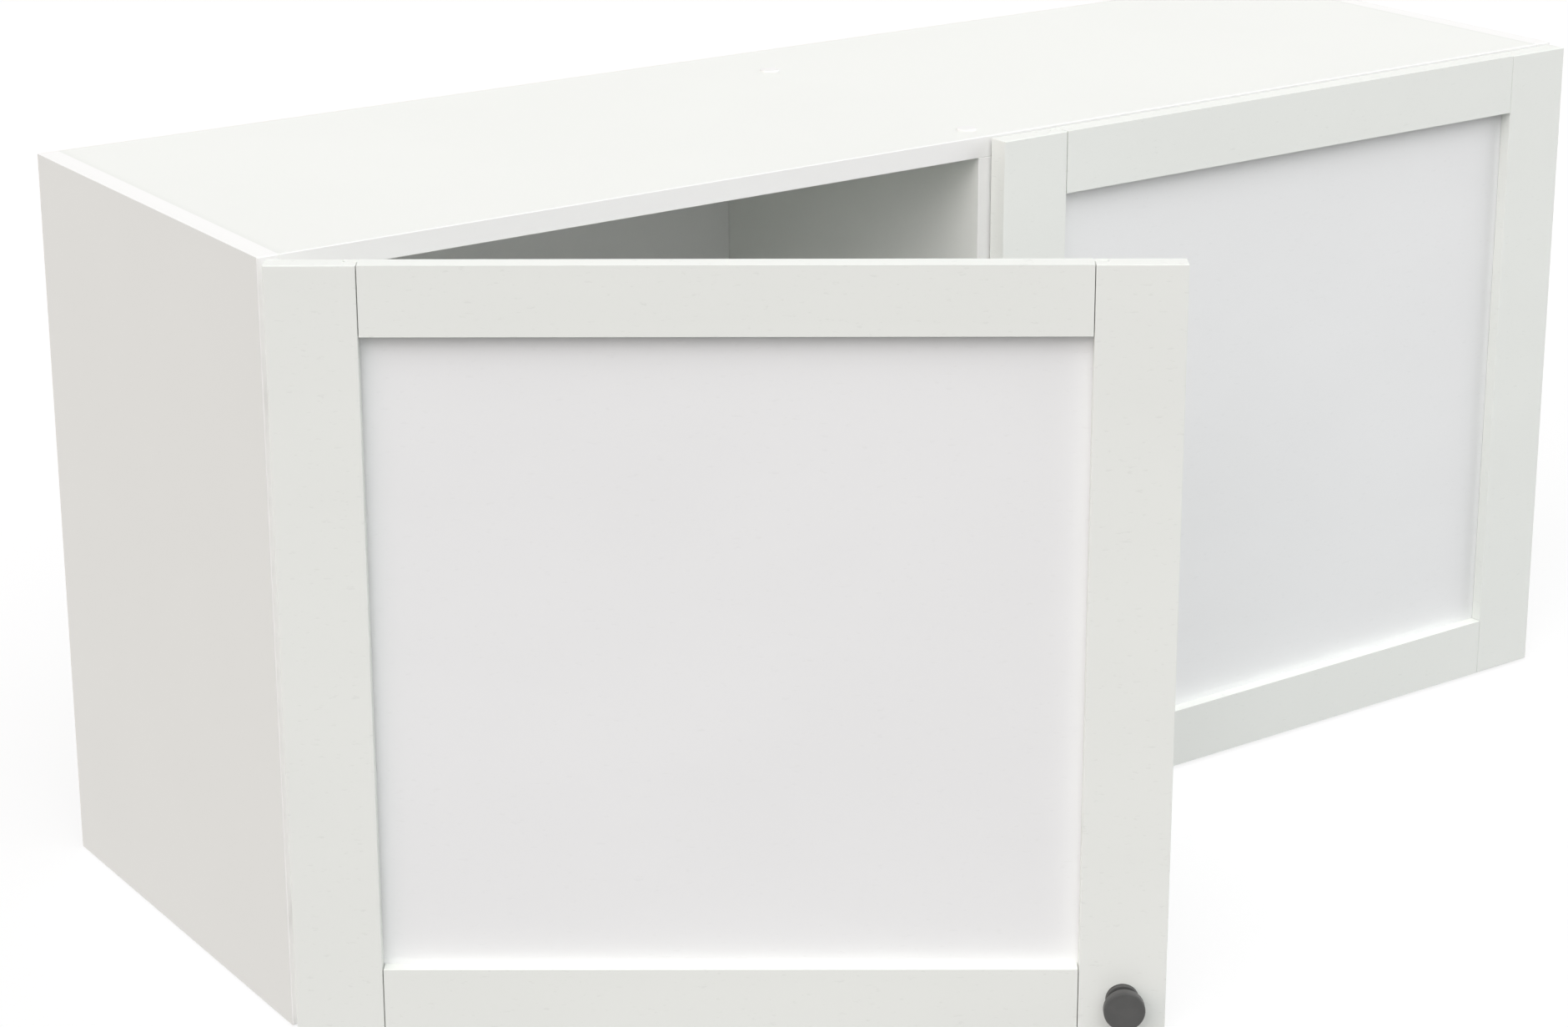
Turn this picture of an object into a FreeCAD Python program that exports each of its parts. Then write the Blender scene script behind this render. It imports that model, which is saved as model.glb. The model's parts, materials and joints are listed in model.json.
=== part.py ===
import FreeCAD, Part
import math
import os
import re

import Sketcher

# Driving sizes of the wall cabinet, in millimetres and degrees.
SIZES = {
    # Carcass
    "cabinet_width": 1200,
    "cabinet_height": 550,
    "carcass_depth": 355,
    "board": 16,
    "hanging_drop": 60,
    "board_round": 0.6,
    # Back panel and its grooves
    "back_thickness": 3,
    "back_inset": 18,
    "groove_depth": 6,
    "groove_slack": 0.2,
    "back_edge_slack": 1,
    # Shelves and their pins
    "shelf_setback": 34,
    "shelf_end_slack": 1,
    "pin_diameter": 5,
    "pin_head_diameter": 7,
    "pin_sunk": 7.5,
    "pin_reach": 9,
    "pin_hole_depth": 11,
    "pin_hole_slack": 0.05,
    "pin_row_pitch": 32,
    "pin_front_inset": 75,
    "pin_rear_inset": 56,
    # Corner joints: cams, their bolts and dowels
    "cam_diameter": 15,
    "cam_height": 12.5,
    "cam_backset": 24,
    "cam_recess": 0.4,
    "cam_slot_width": 2,
    "cam_slot_depth": 2.5,
    "cam_slot_length": 9,
    "cam_bolt_diameter": 6,
    "cam_bolt_sunk": 11,
    "cam_front_inset": 48,
    "cam_rear_inset": 83,
    "dowel_diameter": 8,
    "dowel_sunk": 12,
    "dowel_reach": 18,
    "dowel_end_slack": 0.5,
    "dowel_pitch": 32,
    # Screws that hold the divider, and their cover caps
    "divider_screw_front": 26,
    "divider_screw_rear": 70,
    "divider_screw_shank": 7,
    "divider_screw_thread": 5,
    "divider_screw_reach": 34,
    "divider_screw_head": 10,
    "divider_screw_head_depth": 3,
    "cap_diameter": 15,
    "cap_thickness": 1.2,
    "cap_round": 0.6,
    # Doors
    "door_gap": 2,
    "door_thickness": 16,
    "side_reveal": 2,
    "centre_gap": 4,
    "end_reveal": 1.5,
    "stile_width": 60,
    "rail_width": 48,
    "panel_thickness": 4,
    "panel_recess": 10,
    "frame_groove_depth": 9,
    "frame_groove_slack": 0.15,
    "tongue_length": 8,
    "panel_edge_slack": 1,
    "frame_round": 1.4,
    "left_open_angle": 35,
    # Door bumpers
    "bumper_diameter": 8,
    "bumper_thickness": 1.8,
    "bumper_inset": 9,
    # Knobs and their screws
    "knob_from_edge": 30,
    "knob_from_bottom": 26,
    "knob_head_diameter": 28.5,
    "knob_head_thickness": 7,
    "knob_neck_diameter": 13,
    "knob_base_diameter": 23,
    "knob_base_thickness": 4,
    "knob_projection": 20,
    "knob_edge_round": 1.2,
    "knob_screw_diameter": 4,
    "knob_screw_bite": 10,
    "knob_screw_head": 8,
    "knob_screw_head_height": 2.4,
    "knob_hole_slack": 0.25,
    # Hinge cups in the doors
    "hinge_end_inset": 90,
    "cup_diameter": 35,
    "cup_depth": 11.5,
    "cup_wall": 1,
    "cup_edge": 4,
    "cup_fit": 0.1,
    "flange_thickness": 1,
    "flange_lip": 1.5,
    "ear_width": 13,
    "ear_span": 58,
    "ear_offset": 9.5,
    "cup_screw_spacing": 45,
    "cup_screw_diameter": 3.5,
    "cup_screw_depth": 10,
    "cup_screw_head": 7,
    "cup_screw_head_height": 1.6,
    "cup_pin_edge": 9,
    "cup_pin_depth": 2.5,
    "cup_pin_diameter": 2.4,
    "cup_pin_length": 20,
    # Hinge links
    "link_width": 11.6,
    "link_thickness": 4,
    "link_bend_reach": 4,
    "link_bend_dip": 5,
    "link_arm_eye": 6,
    "link_cup_eye": 4.4,
    "link_turn_share": 0.43,
    "pivot_slack": 0.05,
    # Hinge arms on the carcass
    "arm_pin_in": 12,
    "arm_pin_out": 6,
    "arm_pin_diameter": 3,
    "arm_width": 16.6,
    "arm_cheek": 2.2,
    "arm_web": 2,
    "arm_nose": 3.2,
    "arm_throat": 6,
    "arm_length": 62,
    "arm_height": 11,
    "arm_screw_front": 22,
    "arm_screw_spacing": 30,
    "arm_screw_diameter": 4,
    "arm_screw_head": 7,
    "arm_screw_head_height": 1.5,
    # Hinge mounting plates
    "plate_setback": 37,
    "plate_height": 4,
    "plate_length": 44,
    "wing_width": 12,
    "wing_span": 50,
    "plate_screw_spacing": 32,
    "plate_screw_diameter": 5,
    "plate_screw_depth": 12,
    "plate_screw_head": 8,
    "plate_screw_head_height": 2,
    # Hanging brackets, hooks and wall plates
    "hanger_width": 16,
    "hanger_depth": 40,
    "hanger_height": 62,
    "hanger_drop": 1,
    "hanger_round": 2,
    "hanger_channel_height": 9,
    "hanger_screw_spacing": 32,
    "hanger_screw_diameter": 4,
    "hanger_screw_depth": 12,
    "hanger_screw_head": 8,
    "hanger_screw_head_height": 2,
    "notch_slack": 3,
    "hook_width": 8,
    "hook_bar": 4,
    "hook_sunk": 26,
    "hook_tip": 3,
    "hook_tip_gap": 1.5,
    "hook_slack": 0.5,
    "wall_plate_width": 40,
    "wall_plate_side_gap": 1,
    "wall_plate_sheet": 2,
    "wall_plate_foot": 32,
    "wall_plate_lip_height": 11,
    "wall_plate_offset": 6,
    "wall_hole_diameter": 7,
    "wall_hole_spacing": 25,
    # How far every cutting tool runs past the face that it cuts
    "overrun": 1,
}

PIN_ROW_STEPS = (-2, -1, 0, 1, 2)
LEFT = -1
RIGHT = 1
SIDES = {LEFT: "left", RIGHT: "right"}
WORD = re.compile(r"[A-Za-z_][A-Za-z_0-9]*")

doc = FreeCAD.newDocument("wall_cabinet")
sheet = doc.addObject("Spreadsheet::Sheet", "Sizes")
for row, (alias, size) in enumerate(SIZES.items(), start=1):
    sheet.set(f"A{row}", alias)
    sheet.set(f"B{row}", str(size))
    sheet.setAlias(f"B{row}", alias)
doc.recompute()

nodes = []


def formula(text):
    """Turn plain size names in a formula into references to the sheet."""
    return WORD.sub(lambda word: f"Sizes.{word[0]}" if word[0] in SIZES else word[0], str(text))


def value(text):
    """Work out a formula as a number."""
    return float(sheet.evalExpression(formula(text)))


def place_at(item, corner):
    """Bind an object's position to three formulas."""
    for axis, text in zip("xyz", corner):
        item.setExpression(f"Placement.Base.{axis}", formula(text))


def box(name, size, corner):
    """A block from its size and its lowest corner."""
    item = doc.addObject("Part::Box", name)
    for side, text in zip(("Length", "Width", "Height"), size):
        item.setExpression(side, formula(text))
    place_at(item, corner)
    return item


def rod(name, diameter, length, start, axis="z"):
    """A round bar that runs from its start along one axis."""
    item = doc.addObject("Part::Cylinder", name)
    item.setExpression("Radius", formula(f"({diameter}) / 2"))
    item.setExpression("Height", formula(length))
    towards = {"x": FreeCAD.Vector(1, 0, 0), "y": FreeCAD.Vector(0, 1, 0), "z": FreeCAD.Vector(0, 0, 1)}
    turn = FreeCAD.Rotation(FreeCAD.Vector(0, 0, 1), towards[axis])
    item.Placement = FreeCAD.Placement(FreeCAD.Vector(), turn)
    place_at(item, start)
    return item


def gather(name, members):
    """Separate solids kept together as one group."""
    item = doc.addObject("Part::Compound", name)
    item.Links = members
    return item


def unite(name, members):
    """One solid from several that meet."""
    item = doc.addObject("Part::MultiFuse", name)
    item.Shapes = members
    return item


def cut(name, base, tools):
    """A solid with the tools taken away."""
    item = doc.addObject("Part::Cut", name)
    item.Base = base
    item.Tool = gather(f"{name}_tools", tools)
    return item


def soften(name, base, radius, chosen):
    """Round the edges of a solid for which chosen(edge) is true."""
    doc.recompute()
    item = doc.addObject("Part::Fillet", name)
    item.Base = base
    size = value(radius)
    edges = enumerate(base.Shape.Edges, start=1)
    item.Edges = [(index, size, size) for index, edge in edges if chosen(edge)]
    return item


def node(item, name, pose=None):
    """Name a finished sub-part, and move it to the pose in which it rests."""
    item.Label = name
    if pose is not None:
        item.Placement = pose.multiply(item.Placement)
    nodes.append(item)
    return item


def outline(body, name, role, points):
    """A closed outline on one of the body's planes, with each corner bound to two formulas."""
    sketch = body.newObject("Sketcher::SketchObject", name)
    plane = [feature for feature in body.Origin.OriginFeatures if feature.Role == role][0]
    sketch.AttachmentSupport = [(plane, "")]
    sketch.MapMode = "FlatFace"
    corners = [FreeCAD.Vector(value(across), value(along), 0) for across, along in points]
    for index, corner in enumerate(corners):
        following = corners[(index + 1) % len(corners)]
        sketch.addGeometry(Part.LineSegment(corner, following), False)
    for index, (across, along) in enumerate(points):
        sketch.addConstraint(Sketcher.Constraint("Coincident", index, 2, (index + 1) % len(points), 1))
        for kind, text in (("DistanceX", across), ("DistanceY", along)):
            number = sketch.addConstraint(Sketcher.Constraint(kind, -1, 1, index, 1, value(text)))
            sketch.setExpression(f"Constraints[{number}]", formula(text))
    return sketch


def lies_on(axis, place):
    """A test for edges that lie wholly on the plane where one coordinate has a set value."""
    def test(edge):
        """Say whether both limits of the edge's box are on the plane."""
        limits = edge.BoundBox
        low, high = getattr(limits, f"{axis}Min"), getattr(limits, f"{axis}Max")
        return math.isclose(low, place, abs_tol=1e-4) and math.isclose(high, place, abs_tol=1e-4)
    return test


# Planes and spaces that many pieces share
front = "(-carcass_depth)"
top = "hanging_drop"
base = "(hanging_drop - cabinet_height)"
middle = "(hanging_drop - cabinet_height / 2)"
inner_width = "(cabinet_width - 2 * board)"
inner_height = "(cabinet_height - 2 * board)"
bay_width = f"(({inner_width} - board) / 2)"
back_face = "(-(back_inset + back_thickness))"
clear_depth = "(carcass_depth - back_inset - back_thickness)"
shelf_depth = f"({clear_depth} - groove_slack - shelf_setback)"
door_width = "((cabinet_width - 2 * side_reveal - centre_gap) / 2)"
door_height = "(cabinet_height - 2 * end_reveal)"
door_base = f"({base} + end_reveal)"
door_back = f"({front} - door_gap)"
door_front = f"({front} - door_gap - door_thickness)"
hinge_rise = "(cabinet_height / 2 - hinge_end_inset)"
hook_drop = "(hook_slack + wall_plate_lip_height - hook_tip_gap)"


def from_side(side, inset, width="0"):
    """Lowest x of something that starts at an inset from the left or right outer face."""
    if side == LEFT:
        return f"(-cabinet_width / 2 + ({inset}))"
    return f"(cabinet_width / 2 - ({inset}) - ({width}))"


def joint_levels():
    """Middle heights of the bottom and top panels."""
    return {"lower": f"({base} + board / 2)", "upper": f"({top} - board / 2)"}


def back_groove(name, size, corner_x, corner_z):
    """The slot that the back panel slides into."""
    width = "back_thickness + 2 * groove_slack"
    return box(name, (size[0], width, size[1]), (corner_x, f"{back_face} - groove_slack", corner_z))


def pin_places():
    """Depths of the two columns of shelf pin holes."""
    return (f"({front} + pin_front_inset)", "(-pin_rear_inset)")


def cam_places():
    """Depths of the two cams at each corner joint."""
    return (f"({front} + cam_front_inset)", "(-cam_rear_inset)")


def dowel_places():
    """Depths of the two dowels at each corner joint, one pitch inside the cams."""
    ahead, behind = cam_places()
    return (f"({ahead} + dowel_pitch)", f"({behind} - dowel_pitch)")


def hinge_levels():
    """Heights of the two hinges on a door."""
    return (f"({middle} - {hinge_rise})", f"({middle} + {hinge_rise})")


def side_panel(side):
    """A carcass side with its back groove and every hole that is drilled in its inner face."""
    name = f"{SIDES[side]}_side"
    blank = box(f"{name}_blank", ("board", "carcass_depth", "cabinet_height"),
                (from_side(side, 0, "board"), front, base))
    groove = back_groove(f"{name}_groove", ("groove_depth + overrun", f"{inner_height} + 2 * groove_depth"),
                         from_side(side, "board - groove_depth", "groove_depth + overrun"),
                         f"{base} + board - groove_depth")
    tools = [groove]

    def drill(label, diameter, depth, along, height):
        """Bore a hole into the inner face."""
        reach = f"({depth}) + overrun"
        start = (from_side(side, f"board - ({depth})", reach), along, height)
        tools.append(rod(f"{name}_{label}", diameter, reach, start, "x"))

    for column, along in enumerate(pin_places()):
        for step in PIN_ROW_STEPS:
            drill(f"pin_hole_{column}_{step + len(PIN_ROW_STEPS)}", "pin_diameter + 2 * pin_hole_slack",
                  "pin_hole_depth", along, f"{middle} + {step} * pin_row_pitch")
    for level, height in joint_levels().items():
        for index, along in enumerate(cam_places()):
            drill(f"bolt_hole_{level}_{index}", "cam_bolt_diameter", "cam_bolt_sunk", along, height)
        for index, along in enumerate(dowel_places()):
            drill(f"dowel_hole_{level}_{index}", "dowel_diameter", "dowel_sunk + dowel_end_slack",
                  along, height)
    for index, height in enumerate(hinge_levels()):
        for sign in (-1, 1):
            drill(f"plate_hole_{index}_{sign + 1}", "plate_screw_diameter", "plate_screw_depth",
                  f"{front} + plate_setback", f"{height} + {sign} * plate_screw_spacing / 2")
    for index, height in enumerate(hanger_screw_levels()):
        drill(f"hanger_hole_{index}", "hanger_screw_diameter", "hanger_screw_depth", hanger_middle(), height)
    edges = soften(f"{name}_edges", blank, "board_round", lies_on("Y", value(front)))
    node(cut(name, edges, tools), name)


def hanger_base():
    """Lowest height of a hanging bracket."""
    return f"({top} - board - hanger_drop - hanger_height)"


def hanger_middle():
    """Depth of a hanging bracket's middle."""
    return f"({back_face} - hanger_depth / 2)"


def hanger_screw_levels():
    """Heights of the two screws that hold a hanging bracket, below the channel of its hook."""
    low = f"({hanger_base()} + (hanger_height - hanger_screw_spacing) / 4)"
    return (low, f"({low} + hanger_screw_spacing)")


def level_panel(level):
    """The top or bottom panel, between the sides, drilled for cams, dowels and divider screws."""
    name = {"upper": "top_panel", "lower": "bottom_panel"}[level]
    floor = {"upper": f"({top} - board)", "lower": base}[level]
    inside = {"upper": floor, "lower": f"({base} + board)"}[level]
    outside = {"upper": top, "lower": base}[level]
    inward = {"upper": -1, "lower": 1}[level]
    start = f"(-{inner_width} / 2)"

    def rise(depth, from_face=inside):
        """Lowest height of a bore that goes a depth into a face."""
        sign = -inward if from_face == inside else inward
        return f"({from_face})" if sign > 0 else f"({from_face} - ({depth}))"

    blank = box(f"{name}_blank", (inner_width, "carcass_depth", "board"), (start, front, floor))
    slot = "groove_depth + overrun"
    groove_z = f"{inside} - overrun" if level == "upper" else f"{inside} - groove_depth"
    tools = [back_groove(f"{name}_groove", (inner_width, slot), start, groove_z)]
    height = joint_levels()[level]
    for side, word in SIDES.items():
        for index, along in enumerate(cam_places()):
            middle_x = from_side(side, "board + cam_backset")
            tools.append(rod(f"{name}_cam_bore_{word}_{index}", "cam_diameter", "cam_height",
                             (middle_x, along, rise("cam_height"))))
            tools.append(rod(f"{name}_bolt_bore_{word}_{index}", "cam_bolt_diameter", "cam_backset",
                             (from_side(side, "board", "cam_backset"), along, height), "x"))
        for index, along in enumerate(dowel_places()):
            reach = "dowel_reach + dowel_end_slack"
            tools.append(rod(f"{name}_dowel_bore_{word}_{index}", "dowel_diameter", reach,
                             (from_side(side, "board", reach), along, height), "x"))
    for index, along in enumerate(divider_screw_places()):
        tools.append(rod(f"{name}_screw_bore_{index}", "divider_screw_shank", "board", ("0", along, floor)))
        tools.append(rod(f"{name}_screw_sink_{index}", "divider_screw_head", "divider_screw_head_depth",
                         ("0", along, rise("divider_screw_head_depth", outside))))
    edges = soften(f"{name}_edges", blank, "board_round", lies_on("Y", value(front)))
    node(cut(name, edges, tools), name)


def divider_screw_places():
    """Depths of the screws that hold the divider's ends."""
    return (f"({front} + divider_screw_front)", "(-divider_screw_rear)")


def divider():
    """The upright between the two bays, from the front edge to the back panel."""
    blank = box("centre_divider_blank", ("board", f"{clear_depth} - groove_slack", inner_height),
                ("-board / 2", front, f"{base} + board"))
    tools = []
    for column, along in enumerate(pin_places()):
        for step in PIN_ROW_STEPS:
            tools.append(rod(f"centre_divider_pin_hole_{column}_{step + len(PIN_ROW_STEPS)}",
                             "pin_diameter + 2 * pin_hole_slack", "board",
                             ("-board / 2", along, f"{middle} + {step} * pin_row_pitch"), "x"))
    for index, along in enumerate(divider_screw_places()):
        tools.append(rod(f"centre_divider_low_bore_{index}", "divider_screw_thread", "divider_screw_reach",
                         ("0", along, f"{base} + board")))
        tools.append(rod(f"centre_divider_high_bore_{index}", "divider_screw_thread", "divider_screw_reach",
                         ("0", along, f"{top} - board - divider_screw_reach")))
    edges = soften("centre_divider_edges", blank, "board_round", lies_on("Y", value(front)))
    node(cut("centre_divider", edges, tools), "centre_divider")


def back_panel():
    """The thin back, held in the grooves, notched at its upper corners for the hooks."""
    grip = "(groove_depth - back_edge_slack)"
    wide = f"({inner_width} + 2 * {grip})"
    tall = f"({inner_height} + 2 * {grip})"
    sheet_blank = box("back_panel_blank", (wide, "back_thickness", tall),
                      (f"-{wide} / 2", back_face, f"{base} + board - {grip}"))
    notch_width = f"({grip} + hanger_width + notch_slack)"
    notch_height = f"({grip} + hanger_channel_height + {hook_drop} + hanger_drop + 2 * notch_slack)"
    tools = []
    for side, word in SIDES.items():
        corner = (from_side(side, f"board - {grip} - overrun", f"{notch_width} + overrun"),
                  f"{back_face} - overrun", f"{top} - board + {grip} - {notch_height}")
        size = (f"{notch_width} + overrun", "back_thickness + 2 * overrun", f"{notch_height} + overrun")
        tools.append(box(f"back_panel_notch_{word}", size, corner))
    node(cut("back_panel", sheet_blank, tools), "back_panel")


def shelf(side):
    """An adjustable shelf that rests on four pins."""
    name = f"{SIDES[side]}_shelf"
    size = (f"{bay_width} - 2 * shelf_end_slack", shelf_depth, "board")
    corner = (from_side(side, "board + shelf_end_slack", size[0]),
              f"{front} + shelf_setback", f"{middle} + pin_head_diameter / 2")
    blank = box(f"{name}_blank", size, corner)
    node(soften(name, blank, "board_round", lies_on("Y", value(corner[1]))), name)


def shelf_pins():
    """Pins with a wider head that carries the shelf, four to a bay."""
    pins = []
    for side, word in SIDES.items():
        seats = {"outer": "board", "inner": f"board + {bay_width}"}
        for seat, inset in seats.items():
            outward = 1 if seat == "outer" else -1
            for column, along in enumerate(pin_places()):
                label = f"shelf_pin_{word}_{seat}_{column}"
                sunk_inset = f"{inset} - pin_sunk" if outward > 0 else inset
                head_inset = inset if outward > 0 else f"{inset} - pin_reach"
                stem = rod(f"{label}_stem", "pin_diameter", "pin_sunk",
                           (from_side(side, sunk_inset, "pin_sunk"), along, middle), "x")
                head = rod(f"{label}_head", "pin_head_diameter", "pin_reach",
                           (from_side(side, head_inset, "pin_reach"), along, middle), "x")
                pins.append(unite(label, [stem, head]))
    node(gather("shelf_pins", pins), "shelf_pins")


def corner_hardware():
    """Cams, cam bolts and dowels of the four corner joints."""
    cams, bolts, dowels = [], [], []
    for side, word in SIDES.items():
        for level, height in joint_levels().items():
            inside = f"({top} - board)" if level == "upper" else f"({base} + board)"
            for index, along in enumerate(cam_places()):
                label = f"{word}_{level}_{index}"
                tall = "(cam_height - cam_recess)"
                low = f"{inside} + cam_recess" if level == "upper" else f"{inside} - cam_height"
                middle_x = from_side(side, "board + cam_backset")
                disc = rod(f"cam_{label}_disc", "cam_diameter", tall, (middle_x, along, low))
                slot_low = low if level == "upper" else f"{inside} - cam_recess - cam_slot_depth"
                slots = []
                for turn, (wide, deep) in enumerate((("cam_slot_length", "cam_slot_width"),
                                                     ("cam_slot_width", "cam_slot_length"))):
                    slots.append(box(f"cam_{label}_slot_{turn}", (wide, deep, "cam_slot_depth"),
                                     (f"{middle_x} - {wide} / 2", f"{along} - {deep} / 2", slot_low)))
                cams.append(cut(f"cam_{label}", disc, slots))
                reach = "(cam_bolt_sunk + cam_backset - cam_diameter / 2)"
                bolts.append(rod(f"cam_bolt_{label}", "cam_bolt_diameter", reach,
                                 (from_side(side, "board - cam_bolt_sunk", reach), along, height), "x"))
            for index, along in enumerate(dowel_places()):
                length = "(dowel_sunk + dowel_reach)"
                dowels.append(rod(f"dowel_{word}_{level}_{index}", "dowel_diameter", length,
                                  (from_side(side, "board - dowel_sunk", length), along, height), "x"))
    node(gather("cam_locks", cams), "cam_locks")
    node(gather("cam_bolts", bolts), "cam_bolts")
    node(gather("dowels", dowels), "dowels")


def divider_hardware():
    """Screws through the top and bottom panels into the divider, and the caps that cover them."""
    screws, caps = [], []
    for level in ("upper", "lower"):
        for index, along in enumerate(divider_screw_places()):
            label = f"{level}_{index}"
            shank_length = "(board - divider_screw_head_depth)"
            if level == "upper":
                head_z, shank_z = f"{top} - divider_screw_head_depth", f"{top} - board"
                thread_z, cap_z = f"{top} - board - divider_screw_reach", top
            else:
                head_z, shank_z = base, f"{base} + divider_screw_head_depth"
                thread_z, cap_z = f"{base} + board", f"{base} - cap_thickness"
            head = rod(f"divider_screw_{label}_head", "divider_screw_head", "divider_screw_head_depth",
                       ("0", along, head_z))
            shank = rod(f"divider_screw_{label}_shank", "divider_screw_shank", shank_length,
                        ("0", along, shank_z))
            thread = rod(f"divider_screw_{label}_thread", "divider_screw_thread", "divider_screw_reach",
                         ("0", along, thread_z))
            screws.append(unite(f"divider_screw_{label}", [head, shank, thread]))
            disc = rod(f"cap_{label}_disc", "cap_diameter", "cap_thickness", ("0", along, cap_z))
            rim = value(f"{top} + cap_thickness") if level == "upper" else value(f"{base} - cap_thickness")
            caps.append(soften(f"cap_{label}", disc, "cap_round", lies_on("Z", rim)))
    node(gather("divider_screws", screws), "divider_screws")
    node(gather("screw_caps", caps), "screw_caps")


def hanging_brackets():
    """Bracket housings in the upper rear corners, their hooks and screws, and the plates on the wall."""
    hooks, screws = [], []
    hook_z = f"({top} - board - hanger_drop - hanger_channel_height)"
    for side, word in SIDES.items():
        name = f"{word}_hanger"
        blank = box(f"{name}_blank", ("hanger_width", "hanger_depth", "hanger_height"),
                    (from_side(side, "board", "hanger_width"), f"{back_face} - hanger_depth", hanger_base()))
        channel_wide = "(hook_width + 2 * hook_slack)"
        channel_inset = f"board + (hanger_width - {channel_wide}) / 2"
        channel_high = "(hook_bar + 2 * hook_slack)"
        channel = box(f"{name}_channel", (channel_wide, "hook_sunk + overrun", channel_high),
                      (from_side(side, channel_inset, channel_wide), f"{back_face} - hook_sunk",
                       f"{hook_z} - hook_slack"))
        tools = [channel]
        for index, height in enumerate(hanger_screw_levels()):
            tools.append(rod(f"{name}_bore_{index}", "hanger_screw_diameter", "hanger_width",
                             (from_side(side, "board", "hanger_width"), hanger_middle(), height), "x"))
            shank_length = "(hanger_screw_depth + hanger_width)"
            shank = rod(f"{name}_screw_{index}_shank", "hanger_screw_diameter", shank_length,
                        (from_side(side, "board - hanger_screw_depth", shank_length),
                         hanger_middle(), height), "x")
            head = rod(f"{name}_screw_{index}_head", "hanger_screw_head", "hanger_screw_head_height",
                       (from_side(side, "board + hanger_width", "hanger_screw_head_height"),
                        hanger_middle(), height), "x")
            screws.append(unite(f"{name}_screw_{index}", [shank, head]))
        inner_x = value(from_side(side, "board + hanger_width"))
        edges = soften(f"{name}_edges", blank, "hanger_round", lies_on("X", inner_x))
        node(cut(name, edges, tools), name)

        hook_inset = "board + (hanger_width - hook_width) / 2"
        hook_x = from_side(side, hook_inset, "hook_width")
        tip_y = "(-wall_plate_offset + hook_slack)"
        bar_length = f"(hook_sunk - ({back_face}) + {tip_y} + hook_tip)"
        bar = box(f"{word}_hook_bar", ("hook_width", bar_length, "hook_bar"),
                  (hook_x, f"{back_face} - hook_sunk", hook_z))
        tip = box(f"{word}_hook_tip", ("hook_width", "hook_tip", hook_drop),
                  (hook_x, tip_y, f"{hook_z} - {hook_drop}"))
        hooks.append(unite(f"{word}_hook", [bar, tip]))

        lip_top = f"({hook_z} - hook_slack)"
        lip_base = f"({lip_top} - wall_plate_lip_height)"
        plate_x = from_side(side, "board + wall_plate_side_gap", "wall_plate_width")
        foot_height = f"({lip_base} + wall_plate_foot)"
        foot = box(f"{word}_plate_foot", ("wall_plate_width", "wall_plate_sheet", foot_height),
                   (plate_x, "-wall_plate_sheet", "-wall_plate_foot"))
        lip_y = "(-wall_plate_offset - wall_plate_sheet)"
        step = box(f"{word}_plate_step", ("wall_plate_width", f"-({lip_y})", "wall_plate_sheet"),
                   (plate_x, lip_y, f"{lip_base} - wall_plate_sheet"))
        lip = box(f"{word}_plate_lip", ("wall_plate_width", "wall_plate_sheet", "wall_plate_lip_height"),
                  (plate_x, lip_y, lip_base))
        pressed = unite(f"{word}_plate_pressed", [foot, step, lip])
        hole_x = from_side(side, "board + wall_plate_side_gap + wall_plate_width / 2")
        holes = []
        for sign in (-1, 1):
            holes.append(rod(f"{word}_plate_hole_{sign + 1}", "wall_hole_diameter", "wall_plate_sheet",
                             (hole_x, "-wall_plate_sheet", f"{sign} * wall_hole_spacing / 2"), "y"))
        node(cut(f"{word}_wall_plate", pressed, holes), f"{word}_wall_plate")
    node(gather("hanger_hooks", hooks), "hanger_hooks")
    node(gather("hanger_screws", screws), "hanger_screws")


# Hinge points, measured from the inner front corner of a side panel: x into the bay, y to the back
arm_pivot = ("arm_pin_in", "-arm_pin_out")
door_edge = "(side_reveal - board)"
cup_pivot = (f"({door_edge} + cup_pin_edge)", "-(door_gap + cup_pin_depth)")
link_bend = (f"({cup_pivot[0]} + link_bend_reach)", f"({cup_pivot[1]} - link_bend_dip)")
cup_middle = f"({door_edge} + cup_edge + cup_diameter / 2)"


def hinge_seat(side, height):
    """Placement of hinge parts that are made about the inner front corner of a side panel."""
    corner = FreeCAD.Vector(value(from_side(side, "board")), value(front), value(height))
    turn = FreeCAD.Rotation(FreeCAD.Vector(0, 1, 0), 180 if side == RIGHT else 0)
    return FreeCAD.Placement(corner, turn)


def seated(item, side, height):
    """Move a hinge part to its place on a side."""
    item.Placement = hinge_seat(side, height)
    return item


def pivot(side, point):
    """A hinge point of the closed door in the cabinet's own frame."""
    return hinge_seat(side, middle).multVec(FreeCAD.Vector(value(point[0]), value(point[1]), 0))


def link_pose(side, opening):
    """Placement of a door's links when the door is open by an angle."""
    turn = FreeCAD.Rotation(FreeCAD.Vector(0, 0, 1), -side * opening * value("link_turn_share"))
    return FreeCAD.Placement(FreeCAD.Vector(), turn, pivot(side, arm_pivot))


def door_pose(side, opening):
    """Placement of a door that is open by an angle: its cup pivots ride on the links."""
    start = pivot(side, cup_pivot)
    shift = link_pose(side, opening).multVec(start) - start
    turn = FreeCAD.Rotation(FreeCAD.Vector(0, 0, 1), side * opening)
    return FreeCAD.Placement(shift, turn, start)


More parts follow.
